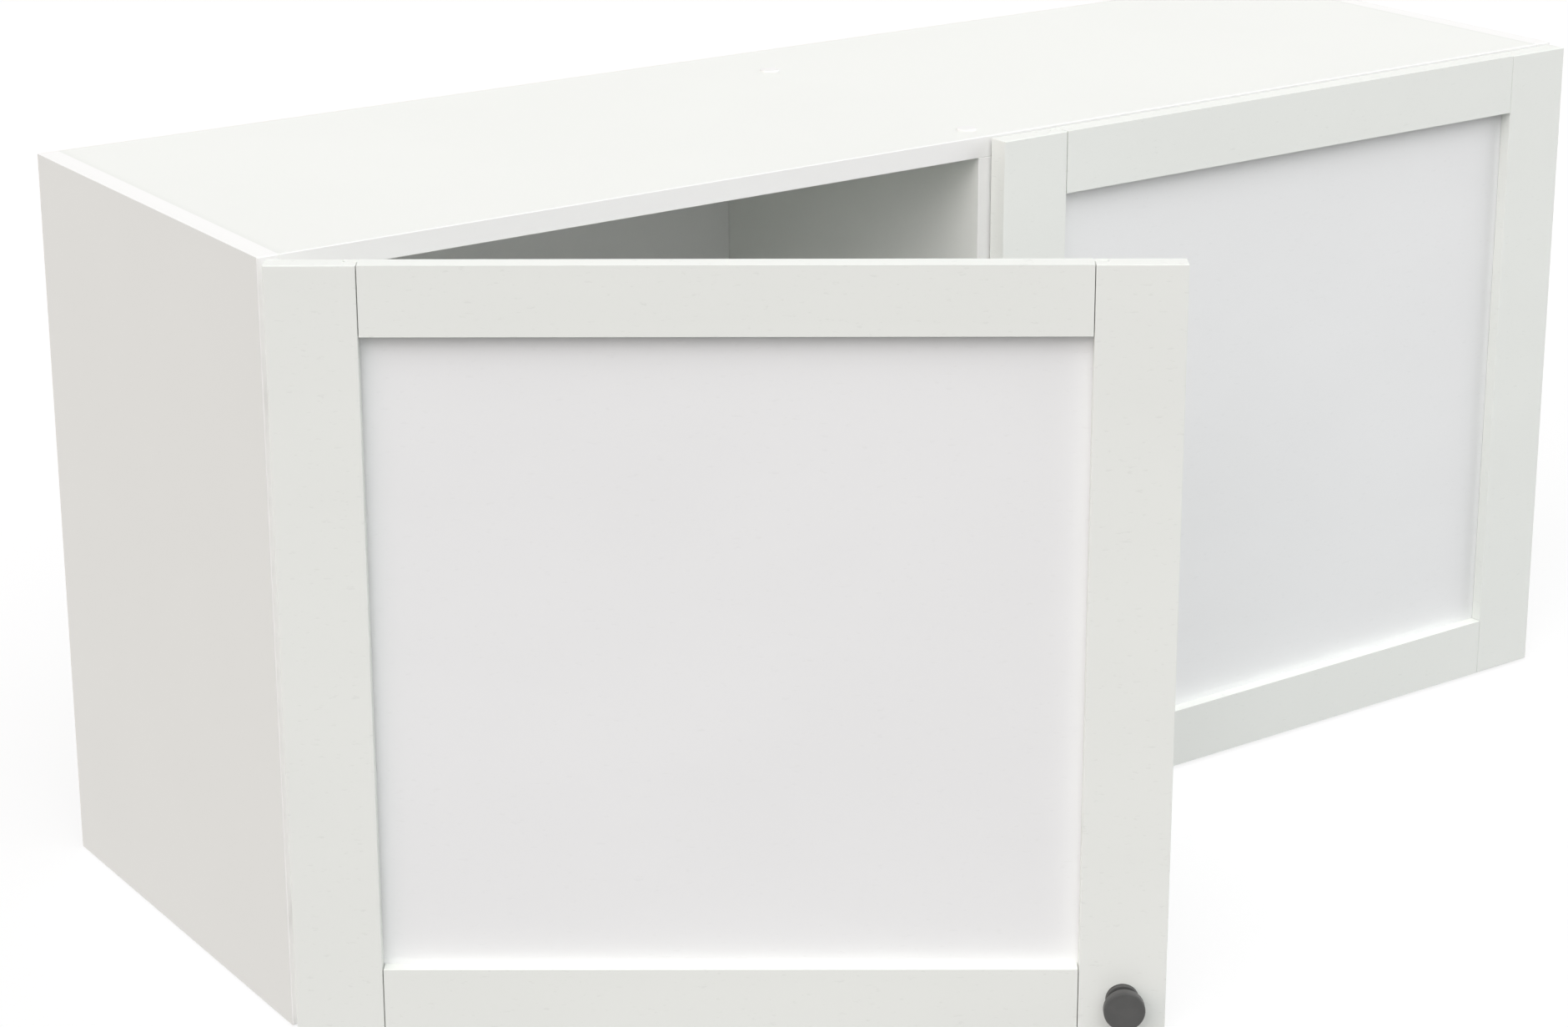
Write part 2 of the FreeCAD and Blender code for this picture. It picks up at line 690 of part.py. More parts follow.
def hinge_arm(name, side, height):
    """A folded steel arm: two cheeks and a web, forked round the link at its nose."""
    body = doc.addObject("PartDesign::Body", name)
    reach, out = arm_pivot
    ridge = "(plate_height + arm_height)"
    profile = outline(body, f"{name}_profile", "XY_Plane", [
        (f"{reach} - arm_nose", f"{out} - arm_nose"),
        (f"{reach} + arm_nose", f"{out} - arm_nose"),
        (ridge, "arm_throat"),
        (ridge, "arm_length"),
        ("plate_height", "arm_length"),
        ("plate_height", "arm_throat"),
    ])
    pad = body.newObject("PartDesign::Pad", f"{name}_pad")
    pad.Profile = profile
    pad.SideType = "Symmetric"
    pad.setExpression("Length", formula("arm_width"))
    hollow = outline(body, f"{name}_hollow", "XY_Plane", [
        ("-overrun", f"{out} - arm_nose - overrun"),
        (f"{ridge} + overrun", f"{out} - arm_nose - overrun"),
        (f"{ridge} + overrun", "arm_throat"),
        (f"{ridge} - arm_web", "arm_throat"),
        (f"{ridge} - arm_web", "arm_length + overrun"),
        ("-overrun", "arm_length + overrun"),
    ])
    channel = body.newObject("PartDesign::Pocket", f"{name}_channel")
    channel.Profile = hollow
    channel.SideType = "Symmetric"
    channel.setExpression("Length", formula("arm_width - 2 * arm_cheek"))
    bores = [rod(f"{name}_pin_bore", "arm_pin_diameter", "arm_width + 2 * overrun",
                 (reach, out, "-arm_width / 2 - overrun"))]
    for index, along in enumerate(arm_screw_places()):
        bores.append(rod(f"{name}_screw_bore_{index}", "arm_screw_diameter", "arm_web + overrun",
                         (f"{ridge} - arm_web", along, "0"), "x"))
    return seated(cut(f"{name}_drilled", body, bores), side, height)


def arm_screw_places():
    """Depths of an arm's two adjusting screws."""
    return ("arm_screw_front", "(arm_screw_front + arm_screw_spacing)")


def hinge_plate(name, side, height):
    """A cross-shaped mounting plate with a screw hole in each wing."""
    half_spine = "(arm_width / 2 - arm_cheek - pivot_slack)"
    spine = box(f"{name}_spine", ("plate_height", "plate_length", f"2 * {half_spine}"),
                ("0", "plate_setback - plate_length / 2", f"-{half_spine}"))
    wing = box(f"{name}_wing", ("plate_height / 2", "wing_width", "wing_span"),
               ("0", "plate_setback - wing_width / 2", "-wing_span / 2"))
    cross = unite(f"{name}_cross", [spine, wing])
    holes = []
    for sign in (-1, 1):
        holes.append(rod(f"{name}_hole_{sign + 1}", "plate_screw_diameter", "plate_height",
                         ("0", "plate_setback", f"{sign} * plate_screw_spacing / 2"), "x"))
    return seated(cut(name, cross, holes), side, height)


def plate_screw(name, sign):
    """A screw through a wing of the mounting plate."""
    height = f"{sign} * plate_screw_spacing / 2"
    shank = rod(f"{name}_shank", "plate_screw_diameter", "plate_screw_depth + plate_height / 2",
                ("-plate_screw_depth", "plate_setback", height), "x")
    head = rod(f"{name}_head", "plate_screw_head", "plate_screw_head_height",
               ("plate_height / 2", "plate_setback", height), "x")
    return unite(name, [shank, head])


def arm_screw(name, along):
    """A screw from the arm's web down to the mounting plate."""
    ridge = "(plate_height + arm_height)"
    shank = rod(f"{name}_shank", "arm_screw_diameter", "arm_height", ("plate_height", along, "0"), "x")
    head = rod(f"{name}_head", "arm_screw_head", "arm_screw_head_height", (ridge, along, "0"), "x")
    return unite(name, [shank, head])


def carcass_hinges():
    """The hinge parts that stay on the carcass, four of each kind."""
    arms, plates, pins, plate_screws, arm_screws = [], [], [], [], []
    for side, word in SIDES.items():
        for index, height in enumerate(hinge_levels()):
            label = f"{word}_{index}"
            arms.append(hinge_arm(f"arm_{label}", side, height))
            plates.append(hinge_plate(f"plate_{label}", side, height))
            pin = gather(f"arm_pin_{label}", [rod(f"arm_pin_{label}_rod", "arm_pin_diameter", "arm_width",
                                                  (*arm_pivot, "-arm_width / 2"))])
            pins.append(seated(pin, side, height))
            for sign in (-1, 1):
                screw = plate_screw(f"plate_screw_{label}_{sign + 1}", sign)
                plate_screws.append(seated(screw, side, height))
            for number, along in enumerate(arm_screw_places()):
                screw = arm_screw(f"arm_screw_{label}_{number}", along)
                arm_screws.append(seated(screw, side, height))
    node(gather("hinge_arms", arms), "hinge_arms")
    node(gather("hinge_plates", plates), "hinge_plates")
    node(gather("hinge_arm_pins", pins), "hinge_arm_pins")
    node(gather("plate_screws", plate_screws), "plate_screws")
    node(gather("arm_screws", arm_screws), "arm_screws")


def strip(name, start, end):
    """A straight stretch of a link between two points of its middle line."""
    from_x, from_y = value(start[0]), value(start[1])
    run_x, run_y = value(end[0]) - from_x, value(end[1]) - from_y
    item = doc.addObject("Part::Box", name)
    item.Length = math.hypot(run_x, run_y)
    item.setExpression("Width", formula("link_thickness"))
    item.setExpression("Height", formula("link_width"))
    turn = FreeCAD.Rotation(FreeCAD.Vector(0, 0, 1), math.degrees(math.atan2(run_y, run_x)))
    corner = turn.multVec(FreeCAD.Vector(0, -value("link_thickness / 2"), 0))
    start_point = FreeCAD.Vector(from_x, from_y, -value("link_width / 2"))
    item.Placement = FreeCAD.Placement(start_point + corner, turn)
    return item


def hinge_link(name, side, height):
    """A goose-neck link with an eye for the arm's pin and one for the cup's pin."""
    low = "-link_width / 2"
    arm_eye = rod(f"{name}_arm_eye", "link_arm_eye", "link_width", (*arm_pivot, low))
    bend = rod(f"{name}_bend", "link_thickness", "link_width", (*link_bend, low))
    cup_eye = rod(f"{name}_cup_eye", "link_cup_eye", "link_width", (*cup_pivot, low))
    runs = [strip(f"{name}_arm_run", arm_pivot, link_bend), strip(f"{name}_cup_run", link_bend, cup_pivot)]
    neck = unite(f"{name}_neck", [arm_eye, bend, cup_eye, *runs])
    bores = []
    eyes = (("arm", arm_pivot, "arm_pin_diameter"), ("cup", cup_pivot, "cup_pin_diameter"))
    for word, point, diameter in eyes:
        bores.append(rod(f"{name}_{word}_bore", f"{diameter} + 2 * pivot_slack", "link_width", (*point, low)))
    return seated(cut(name, neck, bores), side, height)


def door_cup(name, side, height):
    """A pressed hinge cup with its flange and ears, open towards the carcass."""
    back = "(-door_gap)"
    shell = rod(f"{name}_shell", "cup_diameter", "cup_depth", (cup_middle, f"{back} - cup_depth", "0"), "y")
    flange = rod(f"{name}_flange", "cup_diameter + 2 * flange_lip", "flange_thickness",
                 (cup_middle, back, "0"), "y")
    ears = box(f"{name}_ears", ("ear_width", "flange_thickness", "ear_span"),
               (f"{cup_middle} + ear_offset - ear_width / 2", back, "-ear_span / 2"))
    pressed = unite(f"{name}_pressed", [shell, flange, ears])
    tools = [rod(f"{name}_hollow", "cup_diameter - 2 * cup_wall", "cup_depth - cup_wall + flange_thickness",
                 (cup_middle, f"{back} - cup_depth + cup_wall", "0"), "y"),
             rod(f"{name}_pin_bore", "cup_pin_diameter", "cup_pin_length",
                 (*cup_pivot, "-cup_pin_length / 2"))]
    for sign in (-1, 1):
        tools.append(rod(f"{name}_screw_bore_{sign + 1}", "cup_screw_diameter", "flange_thickness",
                         (f"{cup_middle} + ear_offset", back, f"{sign} * cup_screw_spacing / 2"), "y"))
    return seated(cut(name, pressed, tools), side, height)


def cup_screw(name, sign):
    """A screw through an ear of a hinge cup into the stile."""
    start_x = f"{cup_middle} + ear_offset"
    height = f"{sign} * cup_screw_spacing / 2"
    shank = rod(f"{name}_shank", "cup_screw_diameter", "cup_screw_depth + flange_thickness",
                (start_x, "-door_gap - cup_screw_depth", height), "y")
    head = rod(f"{name}_head", "cup_screw_head", "cup_screw_head_height",
               (start_x, "-door_gap + flange_thickness", height), "y")
    return unite(name, [shank, head])


def door_hinges(side, pose, turned_links):
    """The hinge parts that ride on a door, and the links between them and the arms."""
    word = SIDES[side]
    cups, pins, screws, links = [], [], [], []
    for index, height in enumerate(hinge_levels()):
        label = f"{word}_{index}"
        cups.append(door_cup(f"cup_{label}", side, height))
        pin = gather(f"cup_pin_{label}", [rod(f"cup_pin_{label}_rod", "cup_pin_diameter", "cup_pin_length",
                                              (*cup_pivot, "-cup_pin_length / 2"))])
        pins.append(seated(pin, side, height))
        for sign in (-1, 1):
            screws.append(seated(cup_screw(f"cup_screw_{label}_{sign + 1}", sign), side, height))
        links.append(hinge_link(f"link_{label}", side, height))
    node(gather(f"{word}_hinge_cups", cups), f"{word}_hinge_cups", pose)
    node(gather(f"{word}_cup_pins", pins), f"{word}_cup_pins", pose)
    node(gather(f"{word}_cup_screws", screws), f"{word}_cup_screws", pose)
    node(gather(f"{word}_hinge_links", links), f"{word}_hinge_links", turned_links)


def from_hinge_edge(side, inset, width="0"):
    """Lowest x of something that starts at an inset from a door's hinge edge."""
    return from_side(side, f"side_reveal + ({inset})", width)


panel_back = f"({door_front} + panel_recess)"
frame_groove = "(panel_thickness + 2 * frame_groove_slack)"


def stile(side, kind, pose):
    """An upright of a door's frame, grooved along its inner edge and softened round its face."""
    name = f"{SIDES[side]}_{kind}_stile"
    inset = "0" if kind == "hinge" else f"{door_width} - stile_width"
    groove_inset = "stile_width - frame_groove_depth" if kind == "hinge" else f"{inset} - overrun"
    blank = box(f"{name}_blank", ("stile_width", "door_thickness", door_height),
                (from_hinge_edge(side, inset, "stile_width"), door_front, door_base))
    slot = "frame_groove_depth + overrun"
    tools = [box(f"{name}_groove", (slot, frame_groove, f"{door_height} + 2 * overrun"),
                 (from_hinge_edge(side, groove_inset, slot), f"{panel_back} - frame_groove_slack",
                  f"{door_base} - overrun"))]
    if kind == "hinge":
        for index, height in enumerate(hinge_levels()):
            middle_x = from_hinge_edge(side, "cup_edge + cup_diameter / 2")
            tools.append(rod(f"{name}_cup_bore_{index}", "cup_diameter + 2 * cup_fit",
                             "cup_depth + cup_fit + overrun",
                             (middle_x, f"{door_back} - cup_depth - cup_fit", height), "y"))
            screw_x = from_hinge_edge(side, "cup_edge + cup_diameter / 2 + ear_offset")
            for sign in (-1, 1):
                tools.append(rod(f"{name}_screw_bore_{index}_{sign + 1}", "cup_screw_diameter",
                                 "cup_screw_depth + overrun",
                                 (screw_x, f"{door_back} - cup_screw_depth",
                                  f"{height} + {sign} * cup_screw_spacing / 2"), "y"))
    else:
        tools.append(rod(f"{name}_knob_bore", "knob_screw_diameter + 2 * knob_hole_slack",
                         "door_thickness + 2 * overrun",
                         (knob_x(side), f"{door_front} - overrun", knob_z()), "y"))
    face = soften(f"{name}_face", blank, "frame_round", lies_on("Y", value(door_front)))
    node(cut(name, face, tools), name, pose)


def rail(side, level, pose):
    """A cross member of a door's frame, with a tongue at each end in the stiles' grooves."""
    name = f"{SIDES[side]}_{level}_rail"
    length = f"({door_width} - 2 * stile_width)"
    low = door_base if level == "bottom" else f"({door_base} + {door_height} - rail_width)"
    blank = box(f"{name}_blank", (length, "door_thickness", "rail_width"),
                (from_hinge_edge(side, "stile_width", length), door_front, low))
    face = soften(f"{name}_face", blank, "frame_round", lies_on("Y", value(door_front)))
    tongue_height = "(rail_width - frame_groove_depth)"
    tongue_low = low if level == "bottom" else f"({low} + frame_groove_depth)"
    tongues = []
    size = "tongue_length + frame_round"
    ends = {"near": "stile_width - tongue_length", "far": f"stile_width + {length} - frame_round"}
    for end, inset in ends.items():
        tongues.append(box(f"{name}_tongue_{end}", (size, "panel_thickness", tongue_height),
                           (from_hinge_edge(side, inset, size), panel_back, tongue_low)))
    joined = unite(f"{name}_joined", [face, *tongues])
    slot = "frame_groove_depth + overrun"
    slot_low = f"({low} + rail_width - frame_groove_depth)" if level == "bottom" else f"({low} - overrun)"
    wide = f"({length} + 2 * tongue_length + 2 * overrun)"
    groove = box(f"{name}_groove", (wide, frame_groove, slot),
                 (from_hinge_edge(side, "stile_width - tongue_length - overrun", wide),
                  f"{panel_back} - frame_groove_slack", slot_low))
    node(cut(name, joined, [groove]), name, pose)


def door_panel(side, pose):
    """The flat panel that floats in the frame's grooves."""
    name = f"{SIDES[side]}_door_panel"
    grip = "(frame_groove_depth - panel_edge_slack)"
    wide = f"({door_width} - 2 * stile_width + 2 * {grip})"
    tall = f"({door_height} - 2 * rail_width + 2 * {grip})"
    board_sheet = box(f"{name}_sheet", (wide, "panel_thickness", tall),
                      (from_hinge_edge(side, f"stile_width - {grip}", wide), panel_back,
                       f"{door_base} + rail_width - {grip}"))
    node(gather(name, [board_sheet]), name, pose)


def knob_x(side):
    """Middle of a knob across its door."""
    return from_hinge_edge(side, f"{door_width} - knob_from_edge")


def knob_z():
    """Height of a knob."""
    return f"({door_base} + knob_from_bottom)"


def knob(side, pose):
    """A turned knob: a base flange, a hollowed neck and a flat round head, bored for its screw."""
    name = f"{SIDES[side]}_knob"
    body = doc.addObject("PartDesign::Body", f"{name}_turned")
    bore = "knob_screw_diameter / 2"
    neck_top = "(knob_projection - knob_head_thickness)"
    profile = outline(body, f"{name}_profile", "XY_Plane", [
        (bore, "0"),
        ("knob_base_diameter / 2", "0"),
        ("knob_base_diameter / 2", "knob_base_thickness / 2"),
        ("knob_base_diameter / 2 - knob_edge_round", "knob_base_thickness"),
        ("knob_neck_diameter / 2", "knob_base_thickness + knob_edge_round"),
        ("knob_neck_diameter / 2", f"{neck_top} - 2 * knob_edge_round"),
        ("knob_head_diameter / 2 - knob_edge_round", neck_top),
        ("knob_head_diameter / 2", f"{neck_top} + knob_edge_round"),
        ("knob_head_diameter / 2", "knob_projection - knob_edge_round"),
        ("knob_head_diameter / 2 - knob_edge_round", "knob_projection"),
        ("0", "knob_projection"),
        ("0", "knob_screw_bite"),
        (bore, "knob_screw_bite"),
    ])
    turned = body.newObject("PartDesign::Revolution", f"{name}_revolution")
    turned.Profile = profile
    turned.ReferenceAxis = (profile, ["V_Axis"])
    turned.Angle = 360
    body.Placement = FreeCAD.Placement(
        FreeCAD.Vector(value(knob_x(side)), value(door_front), value(knob_z())),
        FreeCAD.Rotation(FreeCAD.Vector(0, 0, 1), 180))
    node(body, name, pose)

    screw = f"{SIDES[side]}_knob_screw"
    shank = rod(f"{screw}_shank", "knob_screw_diameter", "knob_screw_bite + door_thickness",
                (knob_x(side), f"{door_front} - knob_screw_bite", knob_z()), "y")
    head = rod(f"{screw}_head", "knob_screw_head", "knob_screw_head_height",
               (knob_x(side), door_back, knob_z()), "y")
    node(unite(screw, [shank, head]), screw, pose)


def bumpers(side, pose):
    """Soft pads that meet the carcass at the door's free corners."""
    name = f"{SIDES[side]}_bumpers"
    pads = []
    inset = f"{door_width} - bumper_inset"
    for level, height in (("lower", f"{door_base} + bumper_inset"),
                          ("upper", f"{door_base} + {door_height} - bumper_inset")):
        pads.append(rod(f"{name}_{level}", "bumper_diameter", "bumper_thickness",
                        (from_hinge_edge(side, inset), door_back, height), "y"))
    node(gather(name, pads), name, pose)


def door(side, opening):
    """A framed door with its knob, bumpers and hinges, open by an angle."""
    pose = door_pose(side, opening)
    stile(side, "hinge", pose)
    stile(side, "free", pose)
    rail(side, "top", pose)
    rail(side, "bottom", pose)
    door_panel(side, pose)
    knob(side, pose)
    bumpers(side, pose)
    door_hinges(side, pose, link_pose(side, opening))


side_panel(LEFT)
side_panel(RIGHT)
level_panel("upper")
level_panel("lower")
divider()
back_panel()
shelf(LEFT)
shelf(RIGHT)
shelf_pins()
corner_hardware()
divider_hardware()
hanging_brackets()
carcass_hinges()
door(LEFT, value("left_open_angle"))
door(RIGHT, 0)
doc.recompute()

for item in doc.Objects:
    if "Invalid" in item.State or "Error" in item.State:
        raise RuntimeError(f"{item.Label} failed: {item.State}")
for item in nodes:
    if item.Shape.isNull() or not item.Shape.isValid():
        raise RuntimeError(f"{item.Label} has no valid shape")

os.makedirs("parts", exist_ok=True)
for item in nodes:
    item.Shape.exportStep(f"parts/{item.Label}.step")
    print(item.Label, len(item.Shape.Solids), round(item.Shape.Volume, 1))
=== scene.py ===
"""The looks of a wide white wall cabinet with two framed doors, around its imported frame."""

import json
import logging
import math
from dataclasses import dataclass
from enum import Enum
from typing import Callable, Optional, Union

import bpy
from mathutils import Matrix, Vector


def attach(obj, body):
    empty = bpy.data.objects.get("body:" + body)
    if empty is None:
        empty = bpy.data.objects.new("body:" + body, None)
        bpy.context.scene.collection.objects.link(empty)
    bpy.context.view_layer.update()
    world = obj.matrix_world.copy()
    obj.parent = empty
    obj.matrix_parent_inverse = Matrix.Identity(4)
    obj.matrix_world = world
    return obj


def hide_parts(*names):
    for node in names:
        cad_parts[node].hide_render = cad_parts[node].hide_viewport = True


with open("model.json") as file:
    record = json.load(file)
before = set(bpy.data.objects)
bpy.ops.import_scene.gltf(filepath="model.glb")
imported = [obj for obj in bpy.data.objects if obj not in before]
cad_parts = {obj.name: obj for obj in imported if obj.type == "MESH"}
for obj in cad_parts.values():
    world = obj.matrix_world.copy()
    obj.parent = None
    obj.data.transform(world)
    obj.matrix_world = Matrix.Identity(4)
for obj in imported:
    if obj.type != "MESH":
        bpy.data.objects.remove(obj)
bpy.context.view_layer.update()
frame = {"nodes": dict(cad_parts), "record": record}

log = logging.getLogger("wall_cabinet")
MM = 0.001

CARCASS_FRONT = -355 * MM
INNER_SIDE = 584 * MM
HINGE_HEIGHTS = (-400 * MM, -30 * MM)
HINGE_PIN = (589 * MM, -359.5 * MM)
LEFT_PIN_AT_REST = (-588.806 * MM, -363.966 * MM)
LEFT_OPENING = math.radians(-35.0)
SHARP = 50.0
SOFT = (0.3, 0.7)
MIX_FACTOR, MIX_FIRST, MIX_SECOND, MIX_RESULT = 0, 6, 7, 2
WHITE = (1.0, 1.0, 1.0, 1.0)

Pair = tuple[float, float]
Triple = tuple[float, float, float]
Colour = tuple[float, float, float, float]
Item = bpy.types.Object


class Side(Enum):
    """The two sides of the cabinet, by the sign of x."""

    LEFT = -1
    RIGHT = 1

    @property
    def word(self) -> str:
        """The side's name as the nodes and bodies spell it."""
        return self.name.lower()


class Slot(Enum):
    """The finishes that the cabinet's nodes are made in."""

    BOARD = "white_board"
    BACK = "white_back"
    FRAME = "white_frame"
    PANEL = "white_panel"
    DOWEL = "beech_dowel"
    PLASTIC = "white_plastic"
    BUMPER = "soft_bumper"
    KNOB = "dark_knob"
    NICKEL = "nickel_steel"
    ZINC = "zinc_steel"


class Field:
    """A value that changes over a surface: one output socket, with the arithmetic of numbers."""

    def __init__(self, paint: "Paint", socket: bpy.types.NodeSocket) -> None:
        """Keep the socket and the node tree that it belongs to."""
        self.paint = paint
        self.socket = socket

    def _math(self, operation: str, first: "Input", second: "Input" = 0.0) -> "Field":
        """Add one Math node for an operation on two values."""
        return self.paint.node("ShaderNodeMath", {"operation": operation}, {0: first, 1: second})

    def __add__(self, other: "Input") -> "Field":
        """Sum of two values."""
        return self._math("ADD", self, other)

    def __radd__(self, other: "Input") -> "Field":
        """Sum with a plain number first."""
        return self._math("ADD", other, self)

    def __sub__(self, other: "Input") -> "Field":
        """Difference of two values."""
        return self._math("SUBTRACT", self, other)

    def __rsub__(self, other: "Input") -> "Field":
        """Difference with a plain number first."""
        return self._math("SUBTRACT", other, self)

    def __mul__(self, other: "Input") -> "Field":
        """Product of two values."""
        return self._math("MULTIPLY", self, other)

    def __rmul__(self, other: "Input") -> "Field":
        """Product with a plain number first."""
        return self._math("MULTIPLY", other, self)

    def __gt__(self, other: "Input") -> "Field":
        """One where this value is the larger, and zero elsewhere."""
        return self._math("GREATER_THAN", self, other)

    def __lt__(self, other: "Input") -> "Field":
        """One where this value is the smaller, and zero elsewhere."""
        return self._math("LESS_THAN", self, other)

    def sign(self) -> "Field":
        """Minus one below zero, and one above."""
        return self._math("SIGN", self)

    def either(self, other: "Field") -> "Field":
        """The larger of two masks."""
        return self._math("MAXIMUM", self, other)

    def ramp(self, low: float, high: float) -> "Field":
        """Zero below low, one above high, and smooth between them."""
        sockets = {"Value": self, "From Min": low, "From Max": high}
        return self.paint.node("ShaderNodeMapRange", {"interpolation_type": "SMOOTHSTEP"}, sockets)


Input = Union[Field, float, tuple]


class Paint:
    """A node tree that is written as expressions on its fields."""

    def __init__(self, tree: bpy.types.NodeTree) -> None:
        """Start from an empty tree."""
        self.tree = tree
        tree.nodes.clear()

    def node(self, kind: str, settings: Optional[dict] = None, inputs: Optional[dict] = None,
             output: Union[int, str] = 0) -> Field:
        """Add one node.

        Args:
            kind: The node's type.
            settings: Its own properties, which are set first.
            inputs: Values or fields for its sockets, by name or number.
            output: The socket that the result is read from.

        Returns:
            The field of that output socket.
        """
        item = self.tree.nodes.new(kind)
        for name, value in (settings or {}).items():
            setattr(item, name, value)
        for key, value in (inputs or {}).items():
            if isinstance(value, Field):
                self.tree.links.new(value.socket, item.inputs[key])
            else:
                item.inputs[key].default_value = value
        outputs = item.outputs
        return Field(self, outputs[output] if len(outputs) else None)

    def mix(self, factor: Input, first: Input, second: Input) -> Field:
        """A colour between two colours."""
        sockets = {MIX_FACTOR: factor, MIX_FIRST: first, MIX_SECOND: second}
        return self.node("ShaderNodeMix", {"data_type": "RGBA"}, sockets, MIX_RESULT)

    def drift(self, field: Field, colour: Triple, low: float, high: float = 1.0) -> Field:
        """A colour whose strength follows a soft field from one share to another."""
        return self.mix(field.ramp(*SOFT), shade(colour, low), shade(colour, high))

    def place(self, scale: tuple = (1.0, 1.0, 1.0), turn: tuple = (0.0, 0.0, 0.0)) -> Field:
        """The surface's own place in metres, stretched and turned.

        Args:
            scale: Stretch along each axis.
            turn: Turn about each axis, in radians.

        Returns:
            The vector field.
        """
        spot = self.node("ShaderNodeTexCoord", output="Object")
        return self.node("ShaderNodeMapping", None, {"Vector": spot, "Scale": scale, "Rotation": turn})

    def along(self, axis: str, space: str = "Object") -> Field:
        """One coordinate of a surface's place in metres, or of a sky's direction."""
        spot = self.node("ShaderNodeTexCoord", output=space)
        return self.node("ShaderNodeSeparateXYZ", None, {0: spot}, "XYZ".index(axis))

    def noise(self, vector: Field, scale: float, detail: float = 2.0, rough: float = 0.5) -> Field:
        """Soft random values, around one half.

        Args:
            vector: Where the pattern is read.
            scale: How many patches fit in a unit of the vector.
            detail: How many finer layers are added.
            rough: How strong the finer layers are.

        Returns:
            The value field.
        """
        sockets = {"Vector": vector, "Scale": scale, "Detail": detail, "Roughness": rough}
        return self.node("ShaderNodeTexNoise", None, sockets)

    def cells(self, vector: Field, scale: float) -> Field:
        """Distance to the nearest of a scatter of points."""
        return self.node("ShaderNodeTexVoronoi", None, {"Vector": vector, "Scale": scale})

    def bump(self, height: Field, depth: float, strength: float = 1.0) -> Field:
        """A normal that follows a height.

        Args:
            height: The height, from zero to one.
            depth: How far one stands above zero, in metres.
            strength: How much of it is felt.

        Returns:
            The normal field.
        """
        sockets = {"Height": height, "Distance": depth, "Strength": strength}
        return self.node("ShaderNodeBump", None, sockets)

    def surface(self, **sockets: Input) -> None:
        """Finish a material with one surface shader; the words are its sockets' names."""
        named = {name.replace("_", " ").title().replace("Ior", "IOR"): value
                 for name, value in sockets.items()}
        shader = self.node("ShaderNodeBsdfPrincipled", None, named)
        self.node("ShaderNodeOutputMaterial", None, {"Surface": shader})


def shade(colour: Triple, share: float = 1.0) -> Colour:
    """A colour at a share of its strength, opaque."""
    return (*(part * share for part in colour), 1.0)


@dataclass(frozen=True)
class Finish:
    """What all finishes share: the record's slot, a base colour and a roughness."""

    slot: Slot
    colour: Triple
    roughness: float

    def material(self) -> bpy.types.Material:
        """Make the finish's material."""
        made = bpy.data.materials.new(self.slot.value)
        made.use_nodes = True
        self.paint(Paint(made.node_tree))
        return made

    def paint(self, paint: Paint) -> None:
        """Write the material's nodes; each finish has its own."""
        raise NotImplementedError


@dataclass(frozen=True)
class BoardFinish(Finish):
    """Melamine-faced board: a pebbled satin face, edge bands in front and raw chipboard behind."""

    band: float = 0.8 * MM
    seam: float = 0.12 * MM
    rear: float = -0.2 * MM
    crown: float = 59.7 * MM
    joint_shade_width: float = 7 * MM
    band_colour: Triple = (0.90, 0.90, 0.886)
    chip_colour: Triple = (0.60, 0.47, 0.32)
    dirt: float = 0.86
    cloud_scale: float = 5.0
    pebble_scale: float = 900.0
    speck_scale: float = 260.0
    speck_size: float = 0.07
    speck_share: float = 0.10
    joint_shade_share: float = 0.3
    seam_share: float = 0.35
    seam_tone: float = 0.7
    chip_scale: float = 520.0
    flake_scale: float = 260.0
    flake_shape: Triple = (0.6, 1.0, 0.6)
    flake_range: Pair = (0.52, 0.62)
    skin_depth: float = 0.05 * MM
    sheen: float = 0.42

    def paint(self, paint: Paint) -> None:
        """Write the board's nodes."""
        cloud = paint.noise(paint.place(), self.cloud_scale, 3.0)
        pebble = paint.noise(paint.place(), self.pebble_scale, 2.0, 0.6)
        speck = paint.cells(paint.place(), self.speck_scale) < self.speck_size
        across, depth, high = (paint.along(axis) for axis in "XYZ")
        # one darker tone serves both the real specks and the painted shade along the side joints
        speck_and_shade_tone = shade(self.colour, self.dirt)
        tone = paint.drift(cloud, self.colour, 0.985)
        tone = paint.mix(speck * self.speck_share, tone, speck_and_shade_tone)
        from_joint = across * across.sign() - INNER_SIDE
        crown = high > self.crown
        # painted shade: the top face darkens over the last few millimetres before its joint with each
        # side panel
        joint_shade = crown * from_joint.ramp(-self.joint_shade_width, 0.0) * (from_joint < 0.0)
        tone = paint.mix(joint_shade * self.joint_shade_share, tone, speck_and_shade_tone)
        behind = CARCASS_FRONT + self.band
        banded = (depth < behind).either(crown * (from_joint > 0.0))
        tone = paint.mix(banded, tone, shade(self.band_colour))
        seam = (depth > behind) * (depth < behind + self.seam)
        tone = paint.mix(seam * self.seam_share, tone, shade(self.colour, self.seam_tone))
        raw = depth > self.rear
        chip = paint.noise(paint.place(), self.chip_scale, 3.0, 0.65)
        flake = paint.noise(paint.place(self.flake_shape), self.flake_scale, 1.0)
        chips = paint.drift(chip, self.chip_colour, 0.72, 1.12)
        chips = paint.mix(flake.ramp(*self.flake_range) * 0.5, chips, shade(self.chip_colour, 1.3))
        tone = paint.mix(raw, tone, chips)
        rough = self.roughness + 0.10 * (pebble - 0.5) + 0.05 * (cloud - 0.5)
        rough = rough - 0.06 * banded + 0.35 * raw
        normal = paint.bump(pebble + raw * chip, self.skin_depth, 0.35)
        paint.surface(base_color=tone, roughness=rough, normal=normal, specular_ior_level=self.sheen)


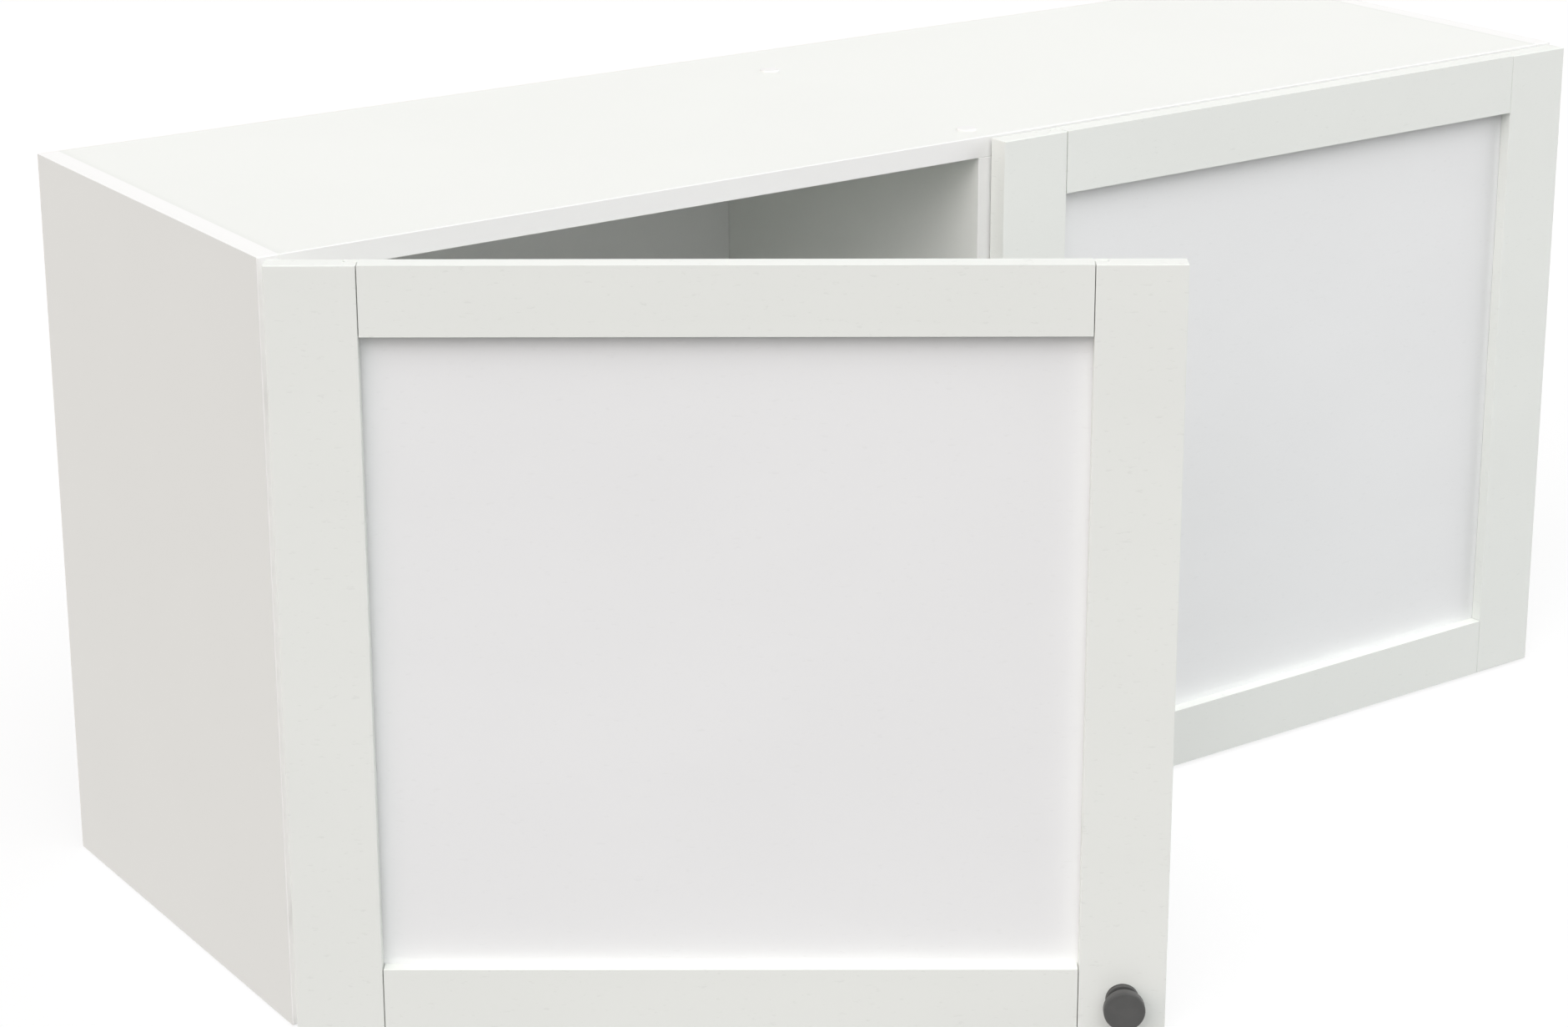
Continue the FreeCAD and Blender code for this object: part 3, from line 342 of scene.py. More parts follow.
@dataclass(frozen=True)
class PaintedFinish(Finish):
    """Foil over fibreboard, with faint level flecks like the pores of a painted wood."""

    fleck: float = 0.25
    cloud_shape: Triple = (1.0, 1.0, 2.2)
    cloud_scale: float = 4.0
    pore_scale: Triple = (150.0, 150.0, 520.0)
    pore_range: Pair = (0.64, 0.74)
    pore_depth: float = 0.04 * MM
    skin_scale: float = 700.0
    sheen: float = 0.4

    def paint(self, paint: Paint) -> None:
        """Write the painted wood's nodes."""
        cloud = paint.noise(paint.place(self.cloud_shape), self.cloud_scale, 3.0)
        pore = paint.noise(paint.place(self.pore_scale), 1.0, 2.0, 0.5).ramp(*self.pore_range)
        skin = paint.noise(paint.place(), self.skin_scale, 2.0)
        tone = paint.drift(cloud, self.colour, 0.982)
        tone = paint.mix(pore * self.fleck, tone, shade(self.colour, 0.8))
        rough = self.roughness + 0.08 * (skin - 0.5) + 0.10 * pore
        normal = paint.bump(skin * 0.3 - pore, self.pore_depth, 0.8)
        paint.surface(base_color=tone, roughness=rough, normal=normal, specular_ior_level=self.sheen)


@dataclass(frozen=True)
class BackFinish(Finish):
    """A thin hardboard back: white foil inside, bare pressed fibre towards the wall."""

    fibre: Triple = (0.42, 0.30, 0.19)
    middle: float = -19.5 * MM
    strand_scale: Triple = (180.0, 180.0, 420.0)
    weave_scale: Triple = (1100.0, 1.0, 1100.0)
    weave_depth: float = 0.06 * MM
    sheen: float = 0.35

    def paint(self, paint: Paint) -> None:
        """Write the back's nodes."""
        rear = paint.along("Y") > self.middle
        cloud = paint.noise(paint.place(), 6.0, 4.0)
        strands = paint.noise(paint.place(self.strand_scale), 1.0, 4.0, 0.7)
        weave = paint.noise(paint.place(self.weave_scale), 1.0, 1.0)
        inside = paint.drift(cloud, self.colour, 0.975)
        bare = paint.mix(strands.ramp(0.25, 0.75), shade(self.fibre, 0.78), shade(self.fibre, 1.15))
        tone = paint.mix(rear, inside, bare)
        rough = self.roughness + 0.22 * rear + 0.10 * (strands - 0.5)
        normal = paint.bump(weave + rear * strands, self.weave_depth, 0.4)
        paint.surface(base_color=tone, roughness=rough, normal=normal, specular_ior_level=self.sheen)


@dataclass(frozen=True)
class DowelFinish(Finish):
    """Turned beech: long grain along x, with short darker rays."""

    ray: Triple = (0.40, 0.22, 0.10)
    grain_scale: Triple = (30.0, 500.0, 500.0)
    ray_scale: Triple = (160.0, 1400.0, 1400.0)
    grain_depth: float = 0.08 * MM

    def paint(self, paint: Paint) -> None:
        """Write the beech's nodes."""
        grain = paint.noise(paint.place(self.grain_scale), 1.0, 4.0, 0.6)
        rays = paint.noise(paint.place(self.ray_scale), 1.0, 1.0)
        tone = paint.drift(grain, self.colour, 0.85, 1.1)
        tone = paint.mix(rays.ramp(0.62, 0.72) * 0.6, tone, shade(self.ray))
        rough = self.roughness + 0.15 * (grain - 0.5)
        paint.surface(base_color=tone, roughness=rough, normal=paint.bump(grain, self.grain_depth, 0.5))


@dataclass(frozen=True)
class MouldedFinish(Finish):
    """Moulded plastic: a fine spark-eroded skin over one tone."""

    grain_scale: float = 1500.0
    flow_scale: float = 40.0
    grain_depth: float = 0.03 * MM

    def paint(self, paint: Paint) -> None:
        """Write the plastic's nodes."""
        skin = paint.noise(paint.place(), self.grain_scale, 2.0, 0.6)
        flow = paint.noise(paint.place(), self.flow_scale, 2.0)
        tone = paint.drift(flow, self.colour, 0.96)
        rough = self.roughness + 0.12 * (skin - 0.5) + 0.05 * (flow - 0.5)
        paint.surface(base_color=tone, roughness=rough, normal=paint.bump(skin, self.grain_depth, 0.4))


@dataclass(frozen=True)
class BumperFinish(Finish):
    """Clear soft rubber with a hazy skin."""

    clarity: float = 0.55
    bending: float = 1.41
    haze_scale: float = 600.0

    def paint(self, paint: Paint) -> None:
        """Write the rubber's nodes."""
        haze = paint.noise(paint.place(), self.haze_scale, 2.0)
        tone = paint.drift(haze, self.colour, 0.9)
        rough = self.roughness + 0.2 * (haze - 0.5)
        paint.surface(
            base_color=tone, roughness=rough, transmission_weight=self.clarity, ior=self.bending)


@dataclass(frozen=True)
class KnobFinish(Finish):
    """Powder-coated knob: fine pebbles over a tone that drifts a little."""

    pebble_scale: float = 1700.0
    cloud_scale: float = 90.0
    pebble_depth: float = 0.05 * MM
    sheen: float = 0.5

    def paint(self, paint: Paint) -> None:
        """Write the powder coat's nodes."""
        grain = paint.noise(paint.place(), self.pebble_scale, 2.0, 0.6)
        cloud = paint.noise(paint.place(), self.cloud_scale, 2.0)
        tone = paint.drift(cloud, self.colour, 0.9, 1.06)
        # painted highlight: the tops of the fine pebbles are lightened as small glints
        tone = paint.mix(grain.ramp(0.55, 0.8) * 0.25, tone, shade(self.colour, 1.5))
        rough = self.roughness + 0.18 * (grain - 0.5)
        normal = paint.bump(grain, self.pebble_depth, 0.5)
        paint.surface(base_color=tone, roughness=rough, normal=normal, specular_ior_level=self.sheen)


@dataclass(frozen=True)
class SteelFinish(Finish):
    """Plated steel: bright metal with rolling marks, and a dull bloom of handling."""

    streak: Triple = (60.0, 900.0, 900.0)
    cloud_scale: float = 38.0
    bloom: float = 0.10
    mark_depth: float = 0.01 * MM

    def paint(self, paint: Paint) -> None:
        """Write the plated steel's nodes."""
        marks = paint.noise(paint.place(self.streak), 1.0, 3.0, 0.6)
        cloud = paint.noise(paint.place(), self.cloud_scale, 2.0)
        tone = paint.mix(cloud.ramp(0.3, 0.75), shade(self.colour), shade(self.colour, 0.95))
        tone = paint.mix(marks.ramp(0.6, 0.8) * 0.3, tone, shade(self.colour, 0.86))
        rough = self.roughness + self.bloom * (cloud - 0.5) + 0.06 * (marks - 0.5)
        normal = paint.bump(marks, self.mark_depth, 0.2)
        paint.surface(base_color=tone, metallic=1.0, roughness=rough, normal=normal)


FINISHES: tuple[Finish, ...] = (
    BoardFinish(Slot.BOARD, (0.845, 0.858, 0.825), 0.44),
    BackFinish(Slot.BACK, (0.87, 0.873, 0.862), 0.50),
    PaintedFinish(Slot.FRAME, (0.855, 0.874, 0.838), 0.42),
    PaintedFinish(Slot.PANEL, (0.88, 0.888, 0.888), 0.46, fleck=0.125),
    DowelFinish(Slot.DOWEL, (0.62, 0.42, 0.24), 0.62),
    MouldedFinish(Slot.PLASTIC, (0.86, 0.86, 0.845), 0.34),
    BumperFinish(Slot.BUMPER, (0.86, 0.88, 0.88), 0.32),
    KnobFinish(Slot.KNOB, (0.075, 0.075, 0.073), 0.46),
    SteelFinish(Slot.NICKEL, (0.72, 0.70, 0.66), 0.27),
    SteelFinish(Slot.ZINC, (0.66, 0.67, 0.69), 0.38),
)


class Dresser:
    """Gives nodes and pieces the material of their slot."""

    def __init__(self, finishes: tuple[Finish, ...]) -> None:
        """Make each finish's material once."""
        self.materials = {finish.slot: finish.material() for finish in finishes}

    def dress(self, item: Item, slot: Slot) -> None:
        """Put one material over the whole of an object.

        Args:
            item: A node or a new piece.
            slot: The finish that it takes.
        """
        item.data.materials.clear()
        item.data.materials.append(self.materials[slot])

    def dress_nodes(self, nodes: dict[str, Item], record: dict) -> None:
        """Dress every carried-over node in the slot that the record gives it.

        Args:
            nodes: The nodes' objects by name.
            record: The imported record.
        """
        for row in record["subparts"]:
            slot = Slot(row["material_slot"])
            self.dress(nodes[row["node"]], slot)
            log.info("node %s in %s", row["node"], slot.value)

    def fit(self, piece: Item, slot: Slot, body: str, node: Optional[str] = None) -> None:
        """Dress a new piece, let it ride, and let it stand for a node where it has one.

        Args:
            piece: The piece.
            slot: The finish that it takes.
            body: The body that it rides on.
            node: The node that it stands for.
        """
        self.dress(piece, slot)
        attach(piece, body)
        if node:
            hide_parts(node)
        log.info("piece %s on %s", piece.name, body)


class Bench:
    """Modelling by operators on one object at a time."""

    @staticmethod
    def clear() -> None:
        """Leave edit mode and select nothing."""
        if bpy.context.mode != "OBJECT":
            bpy.ops.object.mode_set(mode="OBJECT")
        bpy.ops.object.select_all(action="DESELECT")

    @staticmethod
    def take(item: Item) -> None:
        """Select one object alone and make it the active one."""
        Bench.clear()
        item.select_set(True)
        bpy.context.view_layer.objects.active = item

    @staticmethod
    def edit(item: Item, mode: str = "FACE", action: str = "SELECT") -> None:
        """Open one object in edit mode with all of it selected, or with nothing."""
        Bench.take(item)
        bpy.ops.object.mode_set(mode="EDIT")
        bpy.ops.mesh.select_mode(type=mode)
        bpy.ops.mesh.select_all(action=action)

    @staticmethod
    def settle() -> None:
        """Put the active object's place, turn and size into its mesh."""
        bpy.ops.object.transform_apply(location=True, rotation=True, scale=True)

    @staticmethod
    def named(name: str) -> Item:
        """Name the active object and its mesh."""
        item = bpy.context.active_object
        item.name = name
        item.data.name = name
        return item

    @staticmethod
    def block(name: str, size: tuple, middle: tuple) -> Item:
        """A block of a size about its middle, with its place in its mesh."""
        Bench.clear()
        bpy.ops.mesh.primitive_cube_add(size=1.0, location=middle)
        item = Bench.named(name)
        item.scale = size
        Bench.settle()
        return item

    @staticmethod
    def turned(name: str, profile: tuple, sides: int) -> Item:
        """A turned solid about z, drawn out ring by ring from a disc.

        Args:
            name: The object's name.
            profile: Radius and height of each ring, from the foot up.
            sides: How many facets go round it.

        Returns:
            The new object.
        """
        (radius, height), *rings = profile
        Bench.clear()
        bpy.ops.mesh.primitive_circle_add(
            vertices=sides, radius=radius, fill_type="NGON", location=(0.0, 0.0, height))
        item = Bench.named(name)
        Bench.settle()
        Bench.edit(item)
        for wider, higher in rings:
            bpy.ops.mesh.extrude_region_move(
                TRANSFORM_OT_translate={"value": (0.0, 0.0, higher - height)})
            share = wider / radius
            bpy.ops.transform.resize(value=(share, share, 1.0), center_override=(0.0, 0.0, higher))
            radius, height = wider, higher
        Bench.weld(item)
        Bench.edit(item)
        bpy.ops.mesh.normals_make_consistent(inside=False)
        bpy.ops.object.mode_set(mode="OBJECT")
        return item

    @staticmethod
    def weld(item: Item, reach: float = 1e-6) -> None:
        """Merge points of an object that lie within a reach of each other, in metres."""
        Bench.edit(item)
        bpy.ops.mesh.remove_doubles(threshold=reach)
        bpy.ops.object.mode_set(mode="OBJECT")

    @staticmethod
    def carve(item: Item, tool: Item, operation: str = "DIFFERENCE") -> None:
        """Cut a tool out of an object, or join it on, and throw the tool away.

        Args:
            item: The object.
            tool: What is cut out of it or joined to it.
            operation: DIFFERENCE or UNION.
        """
        Bench.take(item)
        knife = item.modifiers.new("carve", "BOOLEAN")
        knife.operation = operation
        knife.solver = "EXACT"
        knife.object = tool
        bpy.ops.object.modifier_apply(modifier=knife.name)
        bpy.data.objects.remove(tool)

    @staticmethod
    def ease(item: Item, width: float, segments: int) -> None:
        """Round an object's sharp edges.

        Args:
            item: The object.
            width: How wide the round is, in metres.
            segments: How many facets it has.
        """
        Bench.take(item)
        soft = item.modifiers.new("ease", "BEVEL")
        soft.width = width
        soft.segments = segments
        soft.limit_method = "ANGLE"
        soft.angle_limit = math.radians(SHARP)
        soft.use_clamp_overlap = True
        bpy.ops.object.modifier_apply(modifier=soft.name)

    @staticmethod
    def smooth(item: Item, angle: float) -> None:
        """Shade an object smooth across angles below one in degrees."""
        Bench.take(item)
        bpy.ops.object.shade_smooth_by_angle(angle=math.radians(angle))

    @staticmethod
    def copy(item: Item, name: str, pose: Matrix) -> Item:
        """A copy with its own mesh, moved to a pose that is then applied."""
        twin = item.copy()
        twin.data = item.data.copy()
        twin.name = name
        twin.data.name = name
        bpy.context.scene.collection.objects.link(twin)
        Bench.take(twin)
        twin.matrix_world = pose
        Bench.settle()
        return twin

    @staticmethod
    def join(items: list[Item], name: str) -> Item:
        """Join several objects into one piece."""
        Bench.take(items[0])
        for item in items[1:]:
            item.select_set(True)
        if len(items) > 1:
            bpy.ops.object.join()
        return Bench.named(name)

    @staticmethod
    def repeat(item: Item, name: str, poses: list[Matrix]) -> Item:
        """Copy a model to each pose, join the copies, and throw the model away."""
        copies = [Bench.copy(item, f"{name}_{index}", pose) for index, pose in enumerate(poses)]
        bpy.data.objects.remove(item)
        return Bench.join(copies, name)


def towards(point: tuple, direction: str) -> Matrix:
    """A pose that takes a model's z axis to one of the cabinet's axes.

    Args:
        point: Where the model's origin goes.
        direction: One of "+x", "-x", "+y" and "-y".

    Returns:
        The pose.
    """
    quarter = math.pi / 2
    turns = {
        "+x": Matrix.Rotation(quarter, 4, "Y"),
        "-x": Matrix.Rotation(-quarter, 4, "Y"),
        "+y": Matrix.Rotation(-quarter, 4, "X"),
        "-y": Matrix.Rotation(quarter, 4, "X"),
    }
    return Matrix.Translation(point) @ turns[direction]


def arc(middle: tuple, radius: float, start: float, end: float, steps: int) -> tuple:
    """Points of a round in a turned profile.

    Args:
        middle: The round's middle, as radius and height.
        radius: Its size.
        start: Its first angle in degrees, from the outward direction.
        end: Its last angle.
        steps: How many facets it has.

    Returns:
        The points in order.
    """
    angles = [math.radians(start + (end - start) * step / steps) for step in range(steps + 1)]
    return tuple((middle[0] + radius * math.cos(a), middle[1] + radius * math.sin(a)) for a in angles)


@dataclass
class Screw:
    """A pan-head screw with a cross recess; its head's underside is at height zero."""

    head_radius: float
    head_height: float
    shank_radius: float
    shank_length: float
    sides: int = 32
    weld_reach: float = 3e-6

    def build(self) -> Item:
        """Model one screw at the origin, its head up."""
        dome = 0.55 * self.head_height
        crown = 0.55 * self.head_radius
        profile = (
            (0.3 * self.shank_radius, -self.shank_length),
            (self.shank_radius, -self.shank_length + 2.0 * self.shank_radius),
            (self.shank_radius, 0.0),
            (self.head_radius, 0.0),
            (self.head_radius, self.head_height - dome),
            (0.93 * self.head_radius, self.head_height - 0.55 * dome),
            (0.80 * self.head_radius, self.head_height - 0.2 * dome),
            (crown, self.head_height),
            (0.02 * self.head_radius, self.head_height),
        )
        screw = Bench.turned("screw_model", profile, self.sides)
        for turn in (0.0, math.pi / 2):
            Bench.carve(screw, self.driver_slot(turn))
        Bench.weld(screw, self.weld_reach)
        Bench.smooth(screw, angle=40.0)
        return screw

    def driver_slot(self, turn: float) -> Item:
        """One tapered bar of the cross that a driver fits, turned about the screw's axis."""
        reach, width = 1.1 * self.head_radius, 0.2 * self.head_radius
        depth = 2.0 * 0.75 * self.head_height
        bar = Bench.block("driver_slot", (reach, width, depth), (0.0, 0.0, self.head_height))
        Bench.edit(bar, "VERT", "DESELECT")
        bpy.ops.object.mode_set(mode="OBJECT")
        for vertex in bar.data.vertices:
            vertex.select = vertex.co.z < self.head_height
        bpy.ops.object.mode_set(mode="EDIT")
        bpy.ops.transform.resize(value=(0.6, 0.6, 1.0), center_override=(0.0, 0.0, 0.0))
        bpy.ops.object.mode_set(mode="OBJECT")
        bar.rotation_euler.z = turn
        Bench.settle()
        return bar


KNOB_SCREW = Screw(head_radius=4 * MM, head_height=2.4 * MM, shank_radius=2 * MM, shank_length=25 * MM)
CUP_SCREW = Screw(
    head_radius=3.5 * MM, head_height=1.6 * MM, shank_radius=1.75 * MM, shank_length=11 * MM)
PLATE_SCREW = Screw(head_radius=4 * MM, head_height=2 * MM, shank_radius=2.5 * MM, shank_length=14 * MM)
ARM_SCREW = Screw(head_radius=3.5 * MM, head_height=1.5 * MM, shank_radius=2 * MM, shank_length=11 * MM)
HANGER_SCREW = Screw(head_radius=4 * MM, head_height=2 * MM, shank_radius=2 * MM, shank_length=28 * MM)
ADJUSTER = Screw(head_radius=4.6 * MM, head_height=1.4 * MM, shank_radius=2.4 * MM, shank_length=6 * MM)


def eased_twin(name: str, node: str, width: float, segments: int = 2) -> Item:
    """A copy of a node's mesh with its sharp edges rounded, as pressed or cast parts have them.

    Args:
        name: The new piece's name.
        node: The node that it stands for.
        width: How wide the rounds are, in metres.
        segments: How many facets a round has.

    Returns:
        The new piece, riding where the node does.
    """
    source = frame["nodes"][node]
    twin = bpy.data.objects.new(name, source.data.copy())
    twin.data.name = name
    bpy.context.scene.collection.objects.link(twin)
    Bench.weld(twin)
    Bench.edit(twin)
    bpy.ops.mesh.dissolve_limited(angle_limit=math.radians(0.5))
    bpy.ops.object.mode_set(mode="OBJECT")
    Bench.ease(twin, width, segments)
    Bench.smooth(twin, angle=35.0)
    return twin


@dataclass
class DoorPose:
    """How a door stands at rest: turned by its opening about the pin of its hinge cups."""

    closed_pin: Pair
    resting_pin: Pair
    opening: float

    def matrix(self) -> Matrix:
        """The pose that takes the closed door to where it rests."""
        there = Matrix.Translation((*self.resting_pin, 0.0))
        back = Matrix.Translation((-self.closed_pin[0], -self.closed_pin[1], 0.0))
        return there @ Matrix.Rotation(self.opening, 4, "Z") @ back


@dataclass
class Door:
    """A framed door: its knob, bumpers, screws and hinge parts."""

    side: Side
    pose: DoorPose
    width: float = 596 * MM
    height: float = 547 * MM
    base: float = -488.5 * MM
    hinge_edge: float = 598 * MM
    front: float = -373 * MM
    back: float = -357 * MM
    knob_from_edge: float = 30 * MM
    knob_from_bottom: float = 26 * MM
    bumper_inset: float = 9 * MM
    cup_screw_edge: float = 31 * MM
    cup_screw_spacing: float = 45 * MM
    cup_round: float = 0.25 * MM
    flange: float = 1 * MM

    @property
    def body(self) -> str:
        """The body that the door's pieces ride on."""
        return f"{self.side.word}_door"

    def across(self, from_hinge_edge: float) -> float:
        """The x of a point at a distance from the hinge edge, with the door closed."""
        return self.side.value * (self.hinge_edge - from_hinge_edge)

    def build(self, dresser: Dresser) -> None:
        """Model and dress all that the door carries.

        Args:
            dresser: Where the materials come from.
        """
        word, members = self.side.word, DoorFrame(self)
        cups = f"{word}_hinge_cups"
        for piece, slot, node in (
            (self.at_knob(Knob().build(), "turned_knob", self.front, "-y"), Slot.KNOB, "knob"),
            (self.at_knob(KNOB_SCREW.build(), "knob_bolt", self.back, "+y"), Slot.ZINC, "knob_screw"),
            (self.bumpers(), Slot.BUMPER, "bumpers"),
            (self.cup_screws(), Slot.ZINC, "cup_screws"),
            (eased_twin(f"{cups}_pressed", cups, self.cup_round), Slot.NICKEL, "hinge_cups"),
            (members.stile(0.0, "hinge"), Slot.FRAME, "hinge_stile"),
            (members.stile(self.width - members.stile_width, "free"), Slot.FRAME, "free_stile"),
            (members.rail(self.base, "bottom"), Slot.FRAME, "bottom_rail"),
            (members.rail(self.base + self.height - members.rail_width, "top"), Slot.FRAME, "top_rail"),
        ):
            dresser.fit(piece, slot, self.body, f"{word}_{node}")

    def span(self, name: str, across: tuple, deep: tuple, high: tuple) -> Item:
        """A block on the closed door.

        Args:
            name: The block's name.
            across: Its start and end from the hinge edge.
            deep: Its start and end in y.
            high: Its start and end in z.

        Returns:
            The block.
        """
        ends = (sorted(self.across(edge) for edge in across), deep, high)
        size = tuple(end - start for start, end in ends)
        return Bench.block(name, size, tuple((start + end) / 2 for start, end in ends))

    def placed(self, model: Item, name: str, poses: list[Matrix]) -> Item:
        """Copies of a model on the closed door, carried to where the door rests."""
        carried = [self.pose.matrix() @ pose for pose in poses]
        return Bench.repeat(model, f"{self.side.word}_{name}", carried)

    def at_knob(self, model: Item, name: str, y: float, direction: str) -> Item:
        """A model on the knob's axis, at one face of the door."""
        spot = (self.across(self.width - self.knob_from_edge), y, self.base + self.knob_from_bottom)
        return self.placed(model, name, [towards(spot, direction)])

    def bumpers(self) -> Item:
        """Two low domes at the free corners."""
        radius, height = 4 * MM, 1.8 * MM
        profile = ((0.9 * radius, 0.0), (radius, 0.12 * height), (radius, 0.3 * height),
                   (0.93 * radius, 0.58 * height), (0.78 * radius, 0.8 * height),
                   (0.52 * radius, 0.94 * height), (0.2 * radius, height), (0.01 * radius, height))
        model = Bench.turned("bumper_model", profile, 32)
        Bench.smooth(model, angle=50.0)
        x = self.across(self.width - self.bumper_inset)
        levels = (self.base + self.bumper_inset, self.base + self.height - self.bumper_inset)
        spots = [towards((x, self.back, z), "+y") for z in levels]
        return self.placed(model, "bumper_domes", spots)

    def cup_screws(self) -> Item:
        """The screws through the ears of the hinge cups."""
        model = CUP_SCREW.build()
        x = self.across(self.cup_screw_edge)
        half = self.cup_screw_spacing / 2
        levels = [z + step for z in HINGE_HEIGHTS for step in (-half, half)]
        spots = [towards((x, self.back + self.flange, z), "+y") for z in levels]
        return self.placed(model, "cup_bolts", spots)


@dataclass
class DoorFrame:
    """The stiles and rails of a door, with fine rounds and hairline joints between them."""

    door: Door
    stile_width: float = 60 * MM
    rail_width: float = 48 * MM
    panel_recess: float = 10 * MM
    panel_thickness: float = 4 * MM
    groove_depth: float = 9 * MM
    groove_slack: float = 0.15 * MM
    tongue_length: float = 8 * MM
    joint_gap: float = 0.6 * MM
    edge_round: float = 0.6 * MM
    round_segments: int = 3
    cup_radius: float = 17.6 * MM
    cup_middle: float = 21.5 * MM
    cup_depth: float = 11.6 * MM
    cup_sides: int = 64
    overrun: float = 1 * MM

    @property
    def panel_front(self) -> float:
        """The y of the panel's face, with the door closed."""
        return self.door.front + self.panel_recess

    @property
    def groove(self) -> Pair:
        """Where the panel's groove starts and ends in y."""
        return (self.panel_front - self.groove_slack,
                self.panel_front + self.panel_thickness + self.groove_slack)

    def rounded(self, member: Item, name: str) -> Item:
        """Round a member's edges and carry it to where the door rests."""
        Bench.ease(member, self.edge_round, self.round_segments)
        return self.door.placed(member, name, [Matrix.Identity(4)])

    def stile(self, start: float, kind: str) -> Item:
        """An upright, grooved along its inner edge; the hinge's one has the bores of the cups.

        Args:
            start: How far it starts from the hinge edge.
            kind: "hinge" or "free".

        Returns:
            The upright, in place.
        """
        door = self.door
        low, high = door.base, door.base + door.height
        end = start + self.stile_width
        member = door.span("stile_blank", (start, end), (door.front, door.back), (low, high))
        slot = (end - self.groove_depth, end + self.overrun)
        if kind == "free":
            slot = (start - self.overrun, start + self.groove_depth)
        length = (low - self.overrun, high + self.overrun)
        Bench.carve(member, door.span("stile_groove", slot, self.groove, length))
        if kind == "hinge":
            for level in HINGE_HEIGHTS:
                profile = ((self.cup_radius, -self.overrun), (self.cup_radius, self.cup_depth))
                drill = Bench.turned("cup_drill", profile, self.cup_sides)
                spot = (door.across(self.cup_middle), door.back, level)
                Bench.carve(member, Bench.repeat(drill, "cup_bore", [towards(spot, "-y")]))
        return self.rounded(member, f"{kind}_upright")

    def rail(self, low: float, level: str) -> Item:
        """A cross member with a tongue at each end, grooved along its inner edge.

        Args:
            low: The height of its lower edge.
            level: "top" or "bottom".

        Returns:
            The cross member, in place.
        """
        door = self.door
        high = low + self.rail_width
        near, far = self.stile_width, door.width - self.stile_width
        member = door.span("rail_blank", (near + self.joint_gap, far - self.joint_gap),
                           (door.front, door.back), (low, high))
        tongue = (low, high - self.groove_depth)
        slot = (high - self.groove_depth, high + self.overrun)
        if level == "top":
            tongue = (low + self.groove_depth, high)
            slot = (low - self.overrun, low + self.groove_depth)
        thick = (self.panel_front, self.panel_front + self.panel_thickness)
        reach = (near - self.tongue_length, far + self.tongue_length)
        Bench.carve(member, door.span("rail_tongue", reach, thick, tongue), "UNION")
        ends = (near - self.overrun, far + self.overrun)
        Bench.carve(member, door.span("rail_groove", ends, self.groove, slot))
        return self.rounded(member, f"{level}_crosspiece")


@dataclass
class Knob:
    """The turned knob that both doors carry, its foot at height zero."""

    head_radius: float = 14.25 * MM
    head_thickness: float = 7 * MM
    neck_radius: float = 6.5 * MM
    base_radius: float = 11.5 * MM
    base_thickness: float = 4 * MM
    projection: float = 20 * MM
    groove: float = 0.6 * MM
    lip: float = 1.4 * MM
    foot_round: float = 0.3 * MM
    base_round: float = 0.7 * MM
    neck_foot: float = 2.2 * MM
    neck_crown: float = 3 * MM
    under_round: float = 1 * MM
    rim_round: float = 1.3 * MM
    sides: int = 96

    def build(self) -> Item:
        """Turn the knob from its foot to its face."""
        base, neck, head = self.base_radius, self.neck_radius, self.head_radius
        ledge, top = self.base_thickness, self.projection
        under = top - self.head_thickness
        edge, foot, crown = self.base_round, self.neck_foot, self.neck_crown
        lower, rim = self.under_round, self.rim_round
        profile = (
            (base - self.foot_round, 0.0),
            (base, self.foot_round),
            (base, self.lip),
            (base - self.groove, self.lip + 0.2 * MM),
            (base - self.groove, self.lip + 0.6 * MM),
            (base, self.lip + 0.8 * MM),
            *arc((base - edge, ledge - edge), edge, 0.0, 90.0, 5),
            *arc((neck + foot, ledge + foot), foot, 270.0, 180.0, 6),
            *arc((neck + crown, under - crown), crown, 180.0, 90.0, 7),
            *arc((head - lower, under + lower), lower, 270.0, 360.0, 5),
            *arc((head - rim, top - rim), rim, 0.0, 90.0, 7),
            (0.6 * head, top),
            (0.02 * head, top),
        )
        knob = Bench.turned("knob_model", profile, self.sides)
        Bench.smooth(knob, angle=40.0)
        return knob


